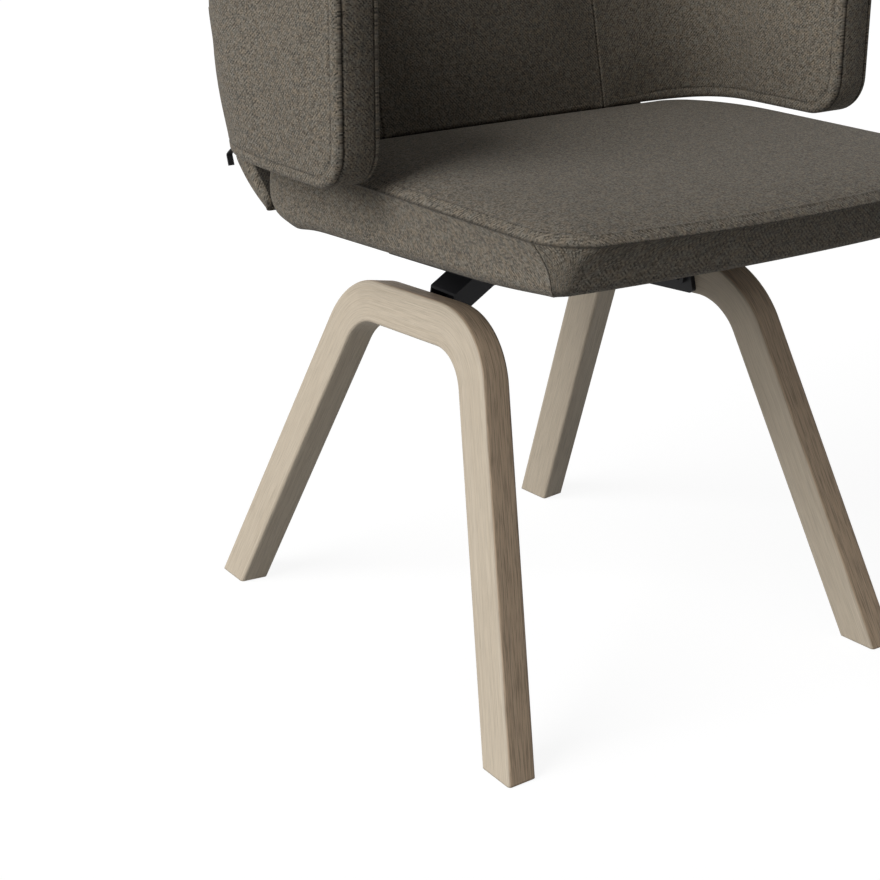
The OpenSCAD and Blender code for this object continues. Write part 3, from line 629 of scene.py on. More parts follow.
# %% Sizes shared with the CAD source
MIDDLE_Y = 215.962057
BAR_WIDTH, BAR_THICK, BAR_EDGE = 38.0, 28.2, 3.0
FOOT_REACH, FOOT_PITCH = 230.4, 480.0
BEND_R, CROSS_HEIGHT, CROSS_FALL = 82.0, 373.4, 3.4
FRONT_RAKE, REAR_RAKE, TOE, LEAN = 21.6, 24.9, 2.5, 10.0
GLIDE_PROUD = 1.0


def settled(points):
    """Moves points from the source's y to the row's y, which has its zero mid-chair."""
    moved = np.array(points, float)
    moved[..., 1] -= MIDDLE_Y
    return moved


print("bar:", BAR_WIDTH, "x", BAR_THICK, "mm")

# %% [markdown]
# ## Bent bars
# Each side frame is one bar of glued layers, bent at two corners. It could be a curve with a
# bevel, but then the grain would have no clean coordinate, so the section is carried along a
# path of headings instead. The feet are cut level with the floor, with a second ring just
# above each cut, so that the flats' shading runs straight down to it.

# %% The bar's path and section
BEND_STEPS, STATION_GAP, EDGE_STEPS, FLAT_STEPS = 49, 12, 6, 8


def heading_path():
    """Stations (u, v, heading) on the outer face: straight, bend, straight, bend, straight."""
    front, cross, rear = 90 - FRONT_RAKE, -CROSS_FALL, REAR_RAKE - 90
    slope = tand(CROSS_FALL)
    front_v = CROSS_HEIGHT / (1 + slope * tand(FRONT_RAKE))
    rear_u = FOOT_PITCH + BAR_WIDTH / cosd(REAR_RAKE)
    rear_v = (CROSS_HEIGHT - slope * rear_u) / (1 - slope * tand(REAR_RAKE))
    corners = [
        (np.array([front_v * tand(FRONT_RAKE), front_v]), front, cross),
        (np.array([rear_u - rear_v * tand(REAR_RAKE), rear_v]), cross, rear),
    ]
    runs = [np.array([[0.0, 0.0, front]])]
    for corner, before, after in corners:
        reach = BEND_R * tand((before - after) / 2)
        start = corner - reach * np.array([cosd(before), sind(before)])
        centre = start + BEND_R * np.array([sind(before), -cosd(before)])
        turn = np.linspace(before, after, BEND_STEPS)
        ring = centre + BEND_R * stacked(-sind(turn), cosd(turn))
        runs.append(np.column_stack([ring, turn]))
    runs.append(np.array([[rear_u, 0.0, rear]]))
    path = []
    for before, after in zip(runs[:-1], runs[1:]):
        gap = lengths(after[0, :2] - before[-1, :2])
        path += [before, inner_points(before[-1], after[0], max(2, int(gap / STATION_GAP)))]
    return np.concatenate(path + [runs[-1]])


def bar_section():
    """Points (depth, across) round the bar, with softened edges and points on each flat."""
    arc = np.linspace(0, 90, EDGE_STEPS)
    near, wide, thick = BAR_EDGE, BAR_WIDTH - BAR_EDGE, BAR_THICK - BAR_EDGE
    centres = ((near, near, 180), (wide, near, 270), (wide, thick, 0), (near, thick, 90))
    arcs = [arc_points(x, y, BAR_EDGE, start + arc) for x, y, start in centres]
    return joined(arcs, [FLAT_STEPS] * 4)


def frame_place(u, v, w):
    """Side frame axes to the source's axes: u back, v up, w inwards, leaning and toed in."""
    x = v * sind(LEAN) + w * cosd(LEAN)
    z = v * cosd(LEAN) - w * sind(LEAN)
    y = u * cosd(TOE) - x * sind(TOE)
    return np.stack([-FOOT_REACH + x * cosd(TOE) + u * sind(TOE), y, z], -1)


print("stations:", len(heading_path()), "points round the bar:", len(bar_section()))

# %% Build both bars
FOOT_CLEAR, FOOT_EDGE, GRAIN_SHIFT = 26, 1.5, 0.37


def make_bar(name, side):
    """Point = path + depth x inward normal, across the thickness; two rings at each end slide
    along the leg until they lie on the level of the cut feet and just above it."""
    path = heading_path()
    away = run_length(path[:, :2])
    keep = (away > FOOT_CLEAR) & (away < away[-1] - FOOT_CLEAR)
    keep[[0, -1]] = True
    path, away = path[keep], away[keep]
    path, away = (np.concatenate([line[:1], line, line[-1:]]) for line in (path, away))
    section = bar_section()
    inward = stacked(sind(path[:, 2]), -cosd(path[:, 2]))
    plane = path[:, None, :2] + section[None, :, :1] * inward[:, None, :]
    along, down, across = (
        np.broadcast_to(values, plane.shape[:2]).copy()
        for values in (away[:, None], section[None, :, 0], section[None, :, 1])
    )
    loops = frame_place(plane[..., 0], plane[..., 1], across)
    for end, above in ((0, 0.0), (1, FOOT_EDGE), (-2, FOOT_EDGE), (-1, 0.0)):
        heading = path[end, 2]
        step = frame_place(cosd(heading), sind(heading), 0) - frame_place(0, 0, 0)
        slide = (GLIDE_PROUD + above - loops[end, :, 2]) / step[2]
        loops[end] += slide[:, None] * step
        along[end] += slide
    loops = settled(loops) * np.array([side, 1, 1])
    piece = closed_loft(name, loops, corner_map(stacked(along, down)))
    values = stacked(along, down, across)
    ends = [values[0].mean(0), values[-1].mean(0)]
    values = np.concatenate([values.reshape(-1, 3), np.array(ends)]) * MM
    values[:, 0] += GRAIN_SHIFT * (side + 1)
    layer = piece.data.attributes.new("bar_place", "FLOAT_VECTOR", "POINT")
    layer.data.foreach_set("vector", values.astype(np.float32).ravel())
    return piece


dress(make_bar("left_bent_bar", 1), "base", "whitewashed_oak", "left_leg_frame")
dress(make_bar("right_bent_bar", -1), "base", "whitewashed_oak", "right_leg_frame")

# %% [markdown]
# ## Seat cushion
# The seat is one foam pad in a sewn cover. Its outline has round corners and a bowed front; the
# top rolls over to a seam, a row of top-stitching runs beside the seam, the side panel is drawn
# in, and an upright seam closes each front corner. The surface is the outline carried through
# a profile of insets and heights, with grooves pressed in along the profile's own normal.

# %% Sizes of the seat
SEAT_HALF, SEAT_FRONT, SEAT_BOW, SEAT_REAR = 241.0, 62.0, 27.0, 368.0
SEAM_Z, SEAT_DOME, ROLL_WIDTH, ROLL_HEIGHT = 470.0, 5.0, 62.0, 12.0
ROLL_POWER, DOME_POWER, BOW_FADE = 2 / 2.2, 2.6, 260.0
SEAT_TILT, TILT_Y, TILT_Z = 2.3, 245.0, 372.0
SEAM_FALL, SEAM_FALL_FROM, RIM_CURL, RIM_CURL_FROM = 0.0006, 200.0, 0.00045, 60.0
CARRIAGE_TOP, PAN_TOP, PAN_INSET = 416.05, 428.05, 16.0
LIP_DROP, BOARD_GAP = 1.5, 0.4
FRONT_CORNER, FRONT_CORNER_LOW, REAR_CORNER, LEAST_CORNER = 40.0, 12.0, 30.0, 8.0
SIDE_SCALE, SIDE_TUCK, RIM_TUCK = 48.0, 3.0, 7.0
CORNER_SEAM, CORNER_SLANT, STITCH_GAP = 12.0, 5.0, 9.0
REAR_ROUND, REAR_LOW_ROUND, REAR_ROUND_FROM = 5.0, 13.0, 300.0
SIDE_SAG, SAG_AT, SAG_WIDTH = 4.0, 318.0, 26.0
LIP_BACK, LIP_FROM, LIP_SPAN = 18.0, 20.0, 80.0
CROWN_LOSS, CROWN_FROM, CROWN_SPAN, FRONT_PAINTED_SHADE = 0.42, 296.0, 72.0, 0.3
RIDGE, RIDGE_WIDTH, RIDGE_EASE, RIDGE_SPREAD = 3.6, 14.0, 1.4, 45.0
CORNER_PRESS, CORNER_GROOVE = 1.5, 1.2
SIDE_WAVE, RIM_TUCK_FROM, RIM_TUCK_SPAN, STITCH_PAINTED_SHADE = 0.75, 0.8, 0.2, 0.45
# (depth, width) of the grooves pressed in beside the seam and at it
STITCH_GROOVE, SEAM_GROOVE = (-0.8, 1.1), (-1.4, 1.2)


def tilted_z(y, z):
    """Height of a point of the tilted glide frame."""
    return TILT_Z - (y - TILT_Y) * sind(SEAT_TILT) + (z - TILT_Z) * cosd(SEAT_TILT)


def seam_z(y):
    """The top seam: level, then falling towards the back."""
    return SEAM_Z - SEAM_FALL * np.maximum(0, y - SEAM_FALL_FROM) ** 2


def crown_share(y):
    """Share of the crown's height that is left: the top sinks under the back's lower edge."""
    return 1 - CROWN_LOSS * smooth(y, CROWN_FROM, CROWN_SPAN)


def rim_z(y):
    """The lower edge: in the plane of the board, curling up towards the front, with a small sag
    near the rear ends."""
    curl = RIM_CURL * np.maximum(0, RIM_CURL_FROM - y) ** 2
    return tilted_z(y, CARRIAGE_TOP - LIP_DROP) + curl - SIDE_SAG * bell(y - SAG_AT, SAG_WIDTH)


# %% Outline of the seat
LEFT_TURN = np.concatenate([[0, 1.5], np.linspace(3, 36, 67), np.linspace(39, 90, 15)])
RIGHT_TURN = 90 - LEFT_TURN[::-1]
REAR_TURN = np.linspace(0, 90, 20)
SEAT_STEPS = (50, 50, 50, 70)


def seat_outline(inset, corner=FRONT_CORNER):
    """Closed outline (columns, 2): four arcs joined by straight lines, then bowed in front."""
    half, front, rear = SEAT_HALF - inset, -SEAT_FRONT + inset, SEAT_REAR - inset
    near, far = max(corner - inset, LEAST_CORNER), max(REAR_CORNER - inset, LEAST_CORNER)
    arcs = [
        arc_points(half - near, front + near, near, 270 + RIGHT_TURN),
        arc_points(half - far, rear - far, far, REAR_TURN),
        arc_points(-half + far, rear - far, far, 90 + REAR_TURN),
        arc_points(-half + near, front + near, near, 180 + LEFT_TURN),
    ]
    loop = joined(arcs, SEAT_STEPS)
    bow = np.maximum(0, 1 - (loop[:, 0] / half) ** 2)
    loop[:, 1] -= SEAT_BOW * bow * np.maximum(0, 1 - (loop[:, 1] + SEAT_FRONT) / BOW_FADE)
    return loop


def board_outline(inset):
    """The outline of the board and of the cushion's inner lip, set back behind the front edge:
    y + LIP_BACK x a smooth step that rises over LIP_SPAN in front of LIP_FROM."""
    xy = seat_outline(inset)
    xy[:, 1] += LIP_BACK * smooth(xy[:, 1], LIP_FROM, -LIP_SPAN)
    return xy


print("outline columns:", len(seat_outline(0)))


# %% Profile of the seat's edge
def grooved(line, grooves):
    """Presses grooves (distance, depth, width) into a 2D profile along its own normal."""
    away = run_length(line)
    push = sum(depth * bell(away - at, width) for at, depth, width in grooves)
    return line + left_of(np.gradient(line, away, axis=0)) * push[:, None]


def seat_profile():
    """(inset, height) from the top's edge over the roll, the seam and down the side, with its
    mask of painted shade in the seam and the stitching, and the number of the seam's point."""
    phi = np.linspace(90, 0, 60)
    roll = [ROLL_WIDTH * (1 - cosd(phi) ** ROLL_POWER), ROLL_HEIGHT * sind(phi) ** ROLL_POWER]
    drop = np.linspace(0, 1, 56)[1:]
    tuck = SIDE_TUCK * np.sin(np.pi * (drop * SIDE_WAVE))
    tuck += RIM_TUCK * share_past(drop, RIM_TUCK_FROM, RIM_TUCK_SPAN) ** 2
    dense = np.concatenate([stacked(*roll), stacked(tuck, -SIDE_SCALE * drop)])
    away = run_length(dense)
    at = away[len(phi) - 1]
    # (start, end, points): denser at the stitching and the seam
    spans = [(0, at - 16, 14), (at - 14, at - 5, 13), (at - 4, at + 4, 17), (at + 5, away[-1], 18)]
    spots = np.unique(np.concatenate([np.linspace(*span) for span in spans]))
    line = stacked(*(np.interp(spots, away, dense[:, k]) for k in range(2)))
    line = grooved(line, [(at - STITCH_GAP, *STITCH_GROOVE), (at, *SEAM_GROOVE)])
    # painted shade in the seam's groove and, lighter, in the stitching's groove
    mask = bell(spots - at, 1.0) + STITCH_PAINTED_SHADE * bell(spots - at + STITCH_GAP, 0.8)
    return line, mask, int(np.argmin(abs(spots - at)))


print("profile points:", len(seat_profile()[0]))

# %% Rows of the seat
CROWN_RINGS = np.linspace(0.04, 1, 22)[:-1]
seat_edge = seat_outline(0)
seat_around = way_round(seat_edge)
seat_middle = np.array([0.0, (SEAT_REAR - SEAT_FRONT) / 2])
seat_reach = lengths(seat_edge - seat_middle)
seat_inward = (seat_middle - seat_edge) / seat_reach[:, None]


def crown_ring(xy, height):
    """Ring at a height over the seam: z = seam + (height + dome) x the crown's share, where
    dome = SEAT_DOME x (1 - share of the way out, to a power)."""
    out = np.clip(lengths(xy - seat_middle) / seat_reach, 0, 1)
    rise = (height + SEAT_DOME * (1 - out**DOME_POWER)) * crown_share(xy[:, 1])
    return np.column_stack([xy, seam_z(xy[:, 1]) + rise])


def side_ring(xy, up):
    """Ring on the side panel, at a share of the way up from the rim to the seam."""
    low = rim_z(xy[:, 1])
    return np.column_stack([xy, between(low, seam_z(xy[:, 1]), up)])


def seat_rows(profile):
    """Shrinking rings on the crown, the edge's profile, then the recess for the board."""
    base = seat_outline(ROLL_WIDTH)
    rings = (between(seat_middle, base, share) for share in CROWN_RINGS)
    rows = [crown_ring(xy, ROLL_HEIGHT) for xy in rings]
    nearness = smooth(seat_edge[:, 1], REAR_ROUND_FROM, SEAT_REAR - REAR_ROUND_FROM)
    for inset, height in profile:
        up = 1 + min(height, 0) / SIDE_SCALE
        corner = between(FRONT_CORNER_LOW, FRONT_CORNER, up**2.5)
        swing = max(1 - height / ROLL_HEIGHT, 0) if height >= 0 else (2 * up - 1) ** 2
        most = REAR_ROUND if up > 0.5 else REAR_LOW_ROUND
        xy = seat_outline(inset, corner) + seat_inward * (most * nearness * swing)[:, None]
        rows.append(crown_ring(xy, height) if height >= 0 else side_ring(xy, up))
    rim = board_outline(PAN_INSET)
    low = tilted_z(rim[:, 1], CARRIAGE_TOP - LIP_DROP)
    rows.append(np.column_stack([rim, np.maximum(rim_z(rim[:, 1]), low)]))
    rows.append(np.column_stack([rim, tilted_z(rim[:, 1], PAN_TOP + BOARD_GAP)]))
    return np.stack(rows)


# %% Build the seat cushion
def sew_corners(side, mask):
    """Presses the upright seam of each front corner into the side rows, with a soft ridge beside
    it, and paints shade into the mask: in the upright seams and over the whole front panel."""
    fall = np.linspace(0, 1, len(side))[:, None]
    lower = np.sqrt(fall)
    lower[-2:] = 0
    right = len(LEFT_TURN) - 1 - int(np.argmin(abs(LEFT_TURN - CORNER_SEAM)))
    mirrored = seat_edge[right] * np.array([-1, 1])
    left = np.argmin(lengths(seat_edge - mirrored))
    for spot, lean in ((right, 1), (left, -1)):
        at = seat_around[spot] + lean * CORNER_SLANT * fall
        past = (seat_around[None, :-1] - at) * -lean
        front = np.clip(0.5 + past, 0, 1) * (seat_edge[:, 1] < 0)
        # painted shade over the front panel below the top seam
        mask[1:] = np.maximum(mask[1:], FRONT_PAINTED_SHADE * front[1:])
        away = np.abs(past)
        away = np.minimum(away, seat_around[-1] - away)
        ridge = RIDGE * np.exp(-away / RIDGE_WIDTH) - RIDGE_EASE * bell(away, RIDGE_SPREAD)
        press = CORNER_PRESS * bell(away, CORNER_GROOVE) - ridge * lower
        side[:, :, :2] += press[:, :, None] * seat_inward
        # painted shade in the upright seam's groove
        mask[:] = np.maximum(mask, bell(away, 1.0))


def make_seat():
    """The rows with their sewn corners; the chart is the plan on top and the unrolled edge on
    the side."""
    profile, profile_painted_shade, seam_point = seat_profile()
    loops = seat_rows(profile)
    seam_row = len(CROWN_RINGS) + seam_point
    mask = np.zeros(loops.shape[:2])
    mask[len(CROWN_RINGS) : len(CROWN_RINGS) + len(profile)] = profile_painted_shade[:, None]
    sew_corners(loops[seam_row:], mask[seam_row:])
    corners = corner_map(loops[:, :, :2])
    side_chart = stacked(seat_around[:-1], loops[:, :, 2])
    wrap = np.array([seat_around[-1], 0.0])
    corners[seam_row:] = corner_map(side_chart, wrap)[seam_row:]
    x, y = seat_middle
    tips = [[x, y, seam_z(y) + ROLL_HEIGHT + SEAT_DOME], [x, y, tilted_z(y, PAN_TOP + BOARD_GAP)]]
    return closed_loft("seat_pad", settled(loops), corners, settled(tips), mask)


seat_pad = dress(make_seat(), "seat", "taupe_fabric", "seat_cushion")

# %% [markdown]
# ## Board and underside cover
# The cushion is stapled to a plywood board, and a black cloth closes it from below. The board
# could stay as the plain extrusion, but its sharp front edge would show under the raised lip,
# so both are carried through the lip's own outline. The cloth leaves the carriage open.

# %% Build the board and the underside cover
BOARD_EASE, BOARD_FIT, CLOTH_INSET, CLOTH_LOW, CLOTH_HIGH = 1.5, 0.3, 3.0, 1.2, 0.05
OPENING_HALF, OPENING_FRONT = 126.0, 131.0


def make_board():
    """Rows of the outline up the edge: (extra inset, height) with both edges eased."""
    ease = BOARD_EASE
    half = [(ease + 3, 0), (ease, 0), (ease * 0.3, ease * 0.3), (0, ease)]
    edge = [(extra, CARRIAGE_TOP + up) for extra, up in half]
    edge += [(extra, PAN_TOP - up) for extra, up in half[::-1]]
    outlines = [(board_outline(PAN_INSET + BOARD_FIT + extra), z) for extra, z in edge]
    loops = np.stack([np.column_stack([xy, tilted_z(xy[:, 1], z)]) for xy, z in outlines])
    return closed_loft("seat_board", settled(loops), corner_map(loops[:, :, :2]))


def make_under_cloth():
    """Rows go round the outline from one rear end to the other; each is a thin section from the
    outline to the nearest point of the opening for the carriage."""
    xy = board_outline(PAN_INSET + CLOTH_INSET)
    xy = np.roll(xy, -int(np.argmax(xy[:, 1] - 0.01 * np.abs(xy[:, 0]))), axis=0)
    xy = xy[(np.abs(xy[:, 0]) > OPENING_HALF + 2) | (xy[:, 1] < OPENING_FRONT)]
    inner_x = np.clip(xy[:, 0], -OPENING_HALF, OPENING_HALF)
    inner = stacked(inner_x, np.maximum(xy[:, 1], OPENING_FRONT))
    share = np.array([0.0, 0.004, 0.5, 0.996, 1.0])
    there_and_back = np.concatenate([share, share[::-1]])
    plane = between(xy[:, None], inner[:, None], there_and_back[None, :, None])
    height = np.repeat([CARRIAGE_TOP - CLOTH_LOW, CARRIAGE_TOP - CLOTH_HIGH], len(share))
    loops = stacked(plane[..., 0], plane[..., 1], tilted_z(plane[..., 1], height))
    return closed_loft("seat_under_cloth", settled(loops), corner_map(plane))


dress(make_board(), "seat", "birch_ply", "seat_pan")
dress(make_under_cloth(), "seat", "cover_cloth", "underside_cover")

# %% [markdown]
# ## Arms and back
# Each arm is a boxed pad: an outer panel, an inner panel and a band between two seams that runs
# round its front, top and bottom. The arm goes straight back, turns in a squared quarter and
# meets the middle panel at an upright seam. One function makes all three pads: it takes the
# panel's contour, and a map from the panel's plane and a depth to the place in space.

# %% Sizes of the arms and the back
ARM_OUTER, ARM_THICK, ARM_FRONT = 293.0, 41.0, 146.0
ARM_LOW, ARM_TOP, BACK_LOW, BACK_TOP = 476.0, 655.0, 472.0, 842.0
PANEL_HALF, TURN_START, TURN_POWER = 128.0, 250.0, 0.7
BACK_INNER, BACK_OUTER, INNER_LEAN, OUTER_LEAN, LEAN_FROM = 333.0, 430.0, 12.5, 6.0, 490.0
ARM_CORNER, END_CORNER, PANEL_GAP = 36.0, 3.0, 0.2
LOWER_TUCK, TUCK_FROM, TUCK_POWER, CORNER_EASE = 13.0, 560.0, 1.6, 4.0
ARM_INNER = ARM_OUTER - ARM_THICK
BACK_THICK = BACK_OUTER - BACK_INNER
STRAIGHT = TURN_START - ARM_FRONT


def quarter(arm_x, back_y, turn):
    """Squared quarter turn from the arm's face to the back's face: cosine and sine raised to a
    power below one."""
    x = -PANEL_HALF - (arm_x - PANEL_HALF) * np.clip(cosd(turn), 0, 1) ** TURN_POWER
    y = TURN_START + (back_y - TURN_START) * np.clip(sind(turn), 0, 1) ** TURN_POWER
    return stacked(x, y)


def faces(turn):
    """The inner and the outer face in plan, at a turn angle."""
    return quarter(ARM_INNER, BACK_INNER, turn), quarter(ARM_OUTER, BACK_OUTER, turn)


turns = np.linspace(0, 90, 721)
turn_length = run_length(sum(faces(turns)) / 2)
ARM_LENGTH = STRAIGHT + turn_length[-1]
print("arm length along its middle:", round(ARM_LENGTH), "mm")


# %% Maps from a panel to its place
def arm_turn(a):
    """Turn angle at a distance along the arm."""
    return np.interp(a - STRAIGHT, turn_length, turns)


def arm_share(a):
    """How far the arm has become the back, from 0 to 1."""
    return sind(arm_turn(a)) ** 2


def arm_foot(a):
    """Height of the lower edge at a distance along the arm."""
    return between(ARM_LOW, BACK_LOW, arm_share(a))


def arm_thickness(a):
    """Distance between the two faces at a distance along the arm."""
    inner, outer = faces(arm_turn(a))
    return lengths(outer - inner)


def leaned(z, f):
    """How far a point leans back, at a height and a share f from the inner to the outer face."""
    return (z - LEAN_FROM) * (tand(INNER_LEAN) * (1 - f) + tand(OUTER_LEAN) * f)


def tuck(z, low):
    """Share of the lower tuck at a height: none above TUCK_FROM, all at the lower edge."""
    return (np.maximum(0, TUCK_FROM - z) / (TUCK_FROM - low)) ** TUCK_POWER


def arm_map(a, z, f):
    """Place of the point at distance a, height z and share f from the inner to the outer face;
    the outer face draws in below TUCK_FROM and eases off round the squared corner."""
    share = arm_share(a)
    inner, outer = faces(arm_turn(a))
    drawn = LOWER_TUCK * np.sqrt(share) * tuck(z, arm_foot(a))
    drawn += CORNER_EASE * sind(2 * arm_turn(a)) ** 2
    f = f - f**2 * drawn / lengths(outer - inner)
    xy = between(inner, outer, f[..., None])
    y = xy[..., 1] + np.minimum(a - STRAIGHT, 0) + leaned(z, f) * share
    return stacked(xy[..., 0], y, z)


def panel_map(x, z, f):
    """The middle panel continues the arm's end section straight across."""
    f = f - f**2 * LOWER_TUCK * tuck(z, BACK_LOW) / BACK_THICK
    return stacked(x, BACK_INNER + BACK_THICK * f + leaned(z, f), z)


def panel_thickness(x):
    """The middle panel is equally thick throughout."""
    return np.full(np.shape(x), BACK_THICK)


# %% Contours of the panels
PANEL_STEPS = (41, 52, 41, 52)


def corner_arc(x, y, r, start, count=14):
    """Quarter arc of a contour, clockwise as seen with x right and y up."""
    return arc_points(x, y, r, start - np.linspace(0, 90, count))


def straight_run(a, b, spacing):
    """Points strictly between two ends."""
    a, b = np.array(a, float), np.array(b, float)
    return inner_points(a, b, max(3, int(lengths(b - a) / spacing)))


def arm_contour():
    """Clockwise from the rear edge's foot: bottom, front, top and rear edge, in (a, z)."""
    r, end, corner = END_CORNER, ARM_LENGTH, ARM_CORNER
    low_line = np.linspace(end - r, corner, 62)[1:-1]
    top_line = np.linspace(corner, end - r, 80)[1:-1]
    return np.concatenate(
        [
            corner_arc(end - r, BACK_LOW + r, r, 0, 5),
            stacked(low_line, arm_foot(low_line)),
            corner_arc(corner, ARM_LOW + corner, corner, 270),
            straight_run([0, ARM_LOW + corner], [0, ARM_TOP - corner], 6),
            corner_arc(corner, ARM_TOP - corner, corner, 180),
            stacked(top_line, between(ARM_TOP, BACK_TOP, arm_share(top_line))),
            corner_arc(end - r, BACK_TOP - r, r, 90, 5),
            straight_run([end, BACK_TOP - r], [end, BACK_LOW + r], 7),
        ]
    )


def panel_contour():
    """Clockwise contour of the middle panel, in (x, z)."""
    half = PANEL_HALF - PANEL_GAP - END_CORNER
    low, high = BACK_LOW + END_CORNER, BACK_TOP - END_CORNER
    places = ((half, low, 0), (-half, low, 270), (-half, high, 180), (half, high, 90))
    arcs = [corner_arc(x, z, END_CORNER, start, 5) for x, z, start in places]
    return joined(arcs, PANEL_STEPS)


print("contour points:", len(arm_contour()), "and", len(panel_contour()))

# %% Boxed pad
PUFF_REACH, BAND_BULGE, SEAM_WIDTH, RISE_FADE = 42.0, 1.6, 2.0, 8
STITCH_MARGIN, STITCH_OFFSET = 8.5, 0.3
BAND_FROM, BAND_SPAN, BAND_ROUND = 2, 20, 4
# Rows of the top-stitching and of the seam: (inset, depth, mask of painted shade)
STITCH_ROWS = ((6.6, 0.0, 0.0), (5.6, 0.4, 0.2), (4.8, 0.8, 0.7), (4.0, 0.4, 0.2), (3.0, 0.0, 0.0))
SEAM_ROWS = ((0.7, 0.5, 0.4), (1.9, 1.1, 1.0), (0.7, 1.7, 0.4))


def swollen(contour, plane, puff):
    """Lift = puff x (1 - exp(-(d / reach)^2)), where d is a softened distance to the contour:
    the sum of length / distance^6 over its segments, to the power -1/5."""
    gap = lengths(plane[..., None, :] - contour)
    length = lengths(step_over(contour)) / 2
    total = (length / np.maximum(gap, 2.0) ** 6).sum(-1)
    distance = (total * 8 / (3 * np.pi)) ** -0.2
    return puff * (1 - bell(distance, PUFF_REACH))


def boxed_pad(name, contour, centre, space, thickness, edge_r, stitched, puff, side=1):
    """Rows from the outer panel's middle over its edge, across the band and back on the inner
    panel. A row is the contour moved inwards by an inset, at a share of the thickness, with its
    value of painted shade in the seam mask."""
    inward = -left_of(step_over(contour))
    thick = thickness(contour[:, 0])

    def row(inset, f, dark=0.0):
        """The contour moved inwards by the inset, with its share and its painted shade."""
        plane = contour + inward * np.broadcast_to(inset, thick.shape)[:, None]
        return plane, f, dark

    # painted shade: the third value of each edge row darkens the stitching and the seam
    edge = [(STITCH_MARGIN * stitched + 2 * STITCH_OFFSET + edge_r, 0.0, 0.0)]
    edge += [
        (inset * stitched + STITCH_OFFSET + edge_r, depth * stitched, dark * stitched)
        for inset, depth, dark in STITCH_ROWS
    ]
    edge += [(edge_r * (1 - sind(t)), edge_r * (1 - cosd(t)), 0.0) for t in np.linspace(0, 90, 8)]
    edge += [(inset, edge_r + depth, dark) for inset, depth, dark in SEAM_ROWS]
    swell = np.linspace(0.05, 1, 26)[:-1]
    base = row(edge[0][0], 1)[0]
    rings = between(centre, base, swell[:, None, None])
    rise = swollen(contour, rings, puff)
    rise -= swollen(contour, base, puff) * swell[:, None] ** RISE_FADE
    panels = []
    for face, sign in ((1, 1), (0, -1)):
        part = [(ring, face + sign * lift / thick, 0.0) for ring, lift in zip(rings, rise)]
        part += [row(inset, face - sign * depth / thick, dark) for inset, depth, dark in edge]
        panels.append(part)
    near = edge_r + SEAM_WIDTH
    above = share_past(contour[:, 1], ARM_LOW + BAND_FROM, BAND_SPAN)
    bulge = BAND_BULGE * np.clip(edge_r / BAND_ROUND, 0, 1) * above
    band = [
        row(-bulge * np.sin(np.pi * u), 1 - (near + (thick - 2 * near) * u) / thick)
        for u in np.linspace(0.02, 0.98, 13)
    ]
    rows = panels[0] + band + panels[1][::-1]
    plane = np.stack([ring for ring, _, _ in rows])
    depth, mask = (
        np.stack([np.broadcast_to(line[k], thick.shape) for line in rows]) for k in (1, 2)
    )
    around = way_round(contour)
    first = len(swell) + len(edge) - 2
    last = len(rows) - first
    corners = corner_map(plane)
    band_chart = stacked(around[:-1], (1 - depth) * thick)
    corners[first:last] = corner_map(band_chart, np.array([around[-1], 0.0]))[first:last]
    puffed = rise[0].mean() / thickness(centre[:1])[0]
    tips = space(*np.broadcast_arrays(*centre, np.array([1 + puffed, -puffed])))
    loops = space(plane[..., 0], plane[..., 1], depth)
    spin = np.array([side, 1, 1])
    return closed_loft(name, settled(loops) * spin, corners, settled(tips) * spin, mask)


# %% Build the arms and the middle panel
EDGE_LOW, EDGE_HIGH, EDGE_JOIN, RISE_FROM = 5.0, 5.0, 2.4, 600.0
ARM_PUFF, PANEL_PUFF, JOIN_FROM, JOIN_SPAN = 5.0, 6.0, 14, 11
TOP_STITCH_END, TOP_STITCH_FADE, REAR_STITCH_END, REAR_STITCH_FADE = 150, 60, 90, 76


def edge_radius(wider, at_join):
    """Edge radius: wider where asked, and small at the join of two panels."""
    return (EDGE_LOW + EDGE_HIGH * wider) * (1 - at_join) + EDGE_JOIN * at_join


contour = arm_contour()
along, high = contour[:, 0], contour[:, 1] > RISE_FROM
at_join = share_past(along, ARM_LENGTH - JOIN_FROM, JOIN_SPAN)
arm_edge = edge_radius(arm_share(along) * high, at_join)
arm_stitch = 1 - share_past(along, TOP_STITCH_END, TOP_STITCH_FADE) * high
arm_stitch *= 1 - share_past(along, ARM_LENGTH - REAR_STITCH_END, REAR_STITCH_FADE)
arm_centre = np.array([ARM_LENGTH * 0.58, 600.0])
for name, side, node in (("left_arm_pad", 1, "left_arm"), ("right_arm_pad", -1, "right_arm")):
    pad = boxed_pad(
        name, contour, arm_centre, arm_map, arm_thickness, arm_edge, arm_stitch, ARM_PUFF, side
    )
    dress(pad, "back", "taupe_fabric", node)

contour = panel_contour()
at_join = share_past(np.abs(contour[:, 0]), PANEL_HALF - JOIN_FROM, JOIN_SPAN)
panel_edge = edge_radius(contour[:, 1] > RISE_FROM, at_join)
panel_centre, no_stitch = np.array([0.0, 640.0]), np.zeros(len(contour))
panel = (panel_centre, panel_map, panel_thickness, panel_edge, no_stitch, PANEL_PUFF)
back_pad = boxed_pad("back_middle_pad", contour, *panel)
dress(back_pad, "back", "taupe_fabric", "back_panel")

# %% [markdown]
# ## Tail
# Below the back, a narrow upholstered strip curls under the rear edge of the seat. Its outside
# is an arc, its inside draws nearer towards the tip, and its ends follow the arms' outer face.

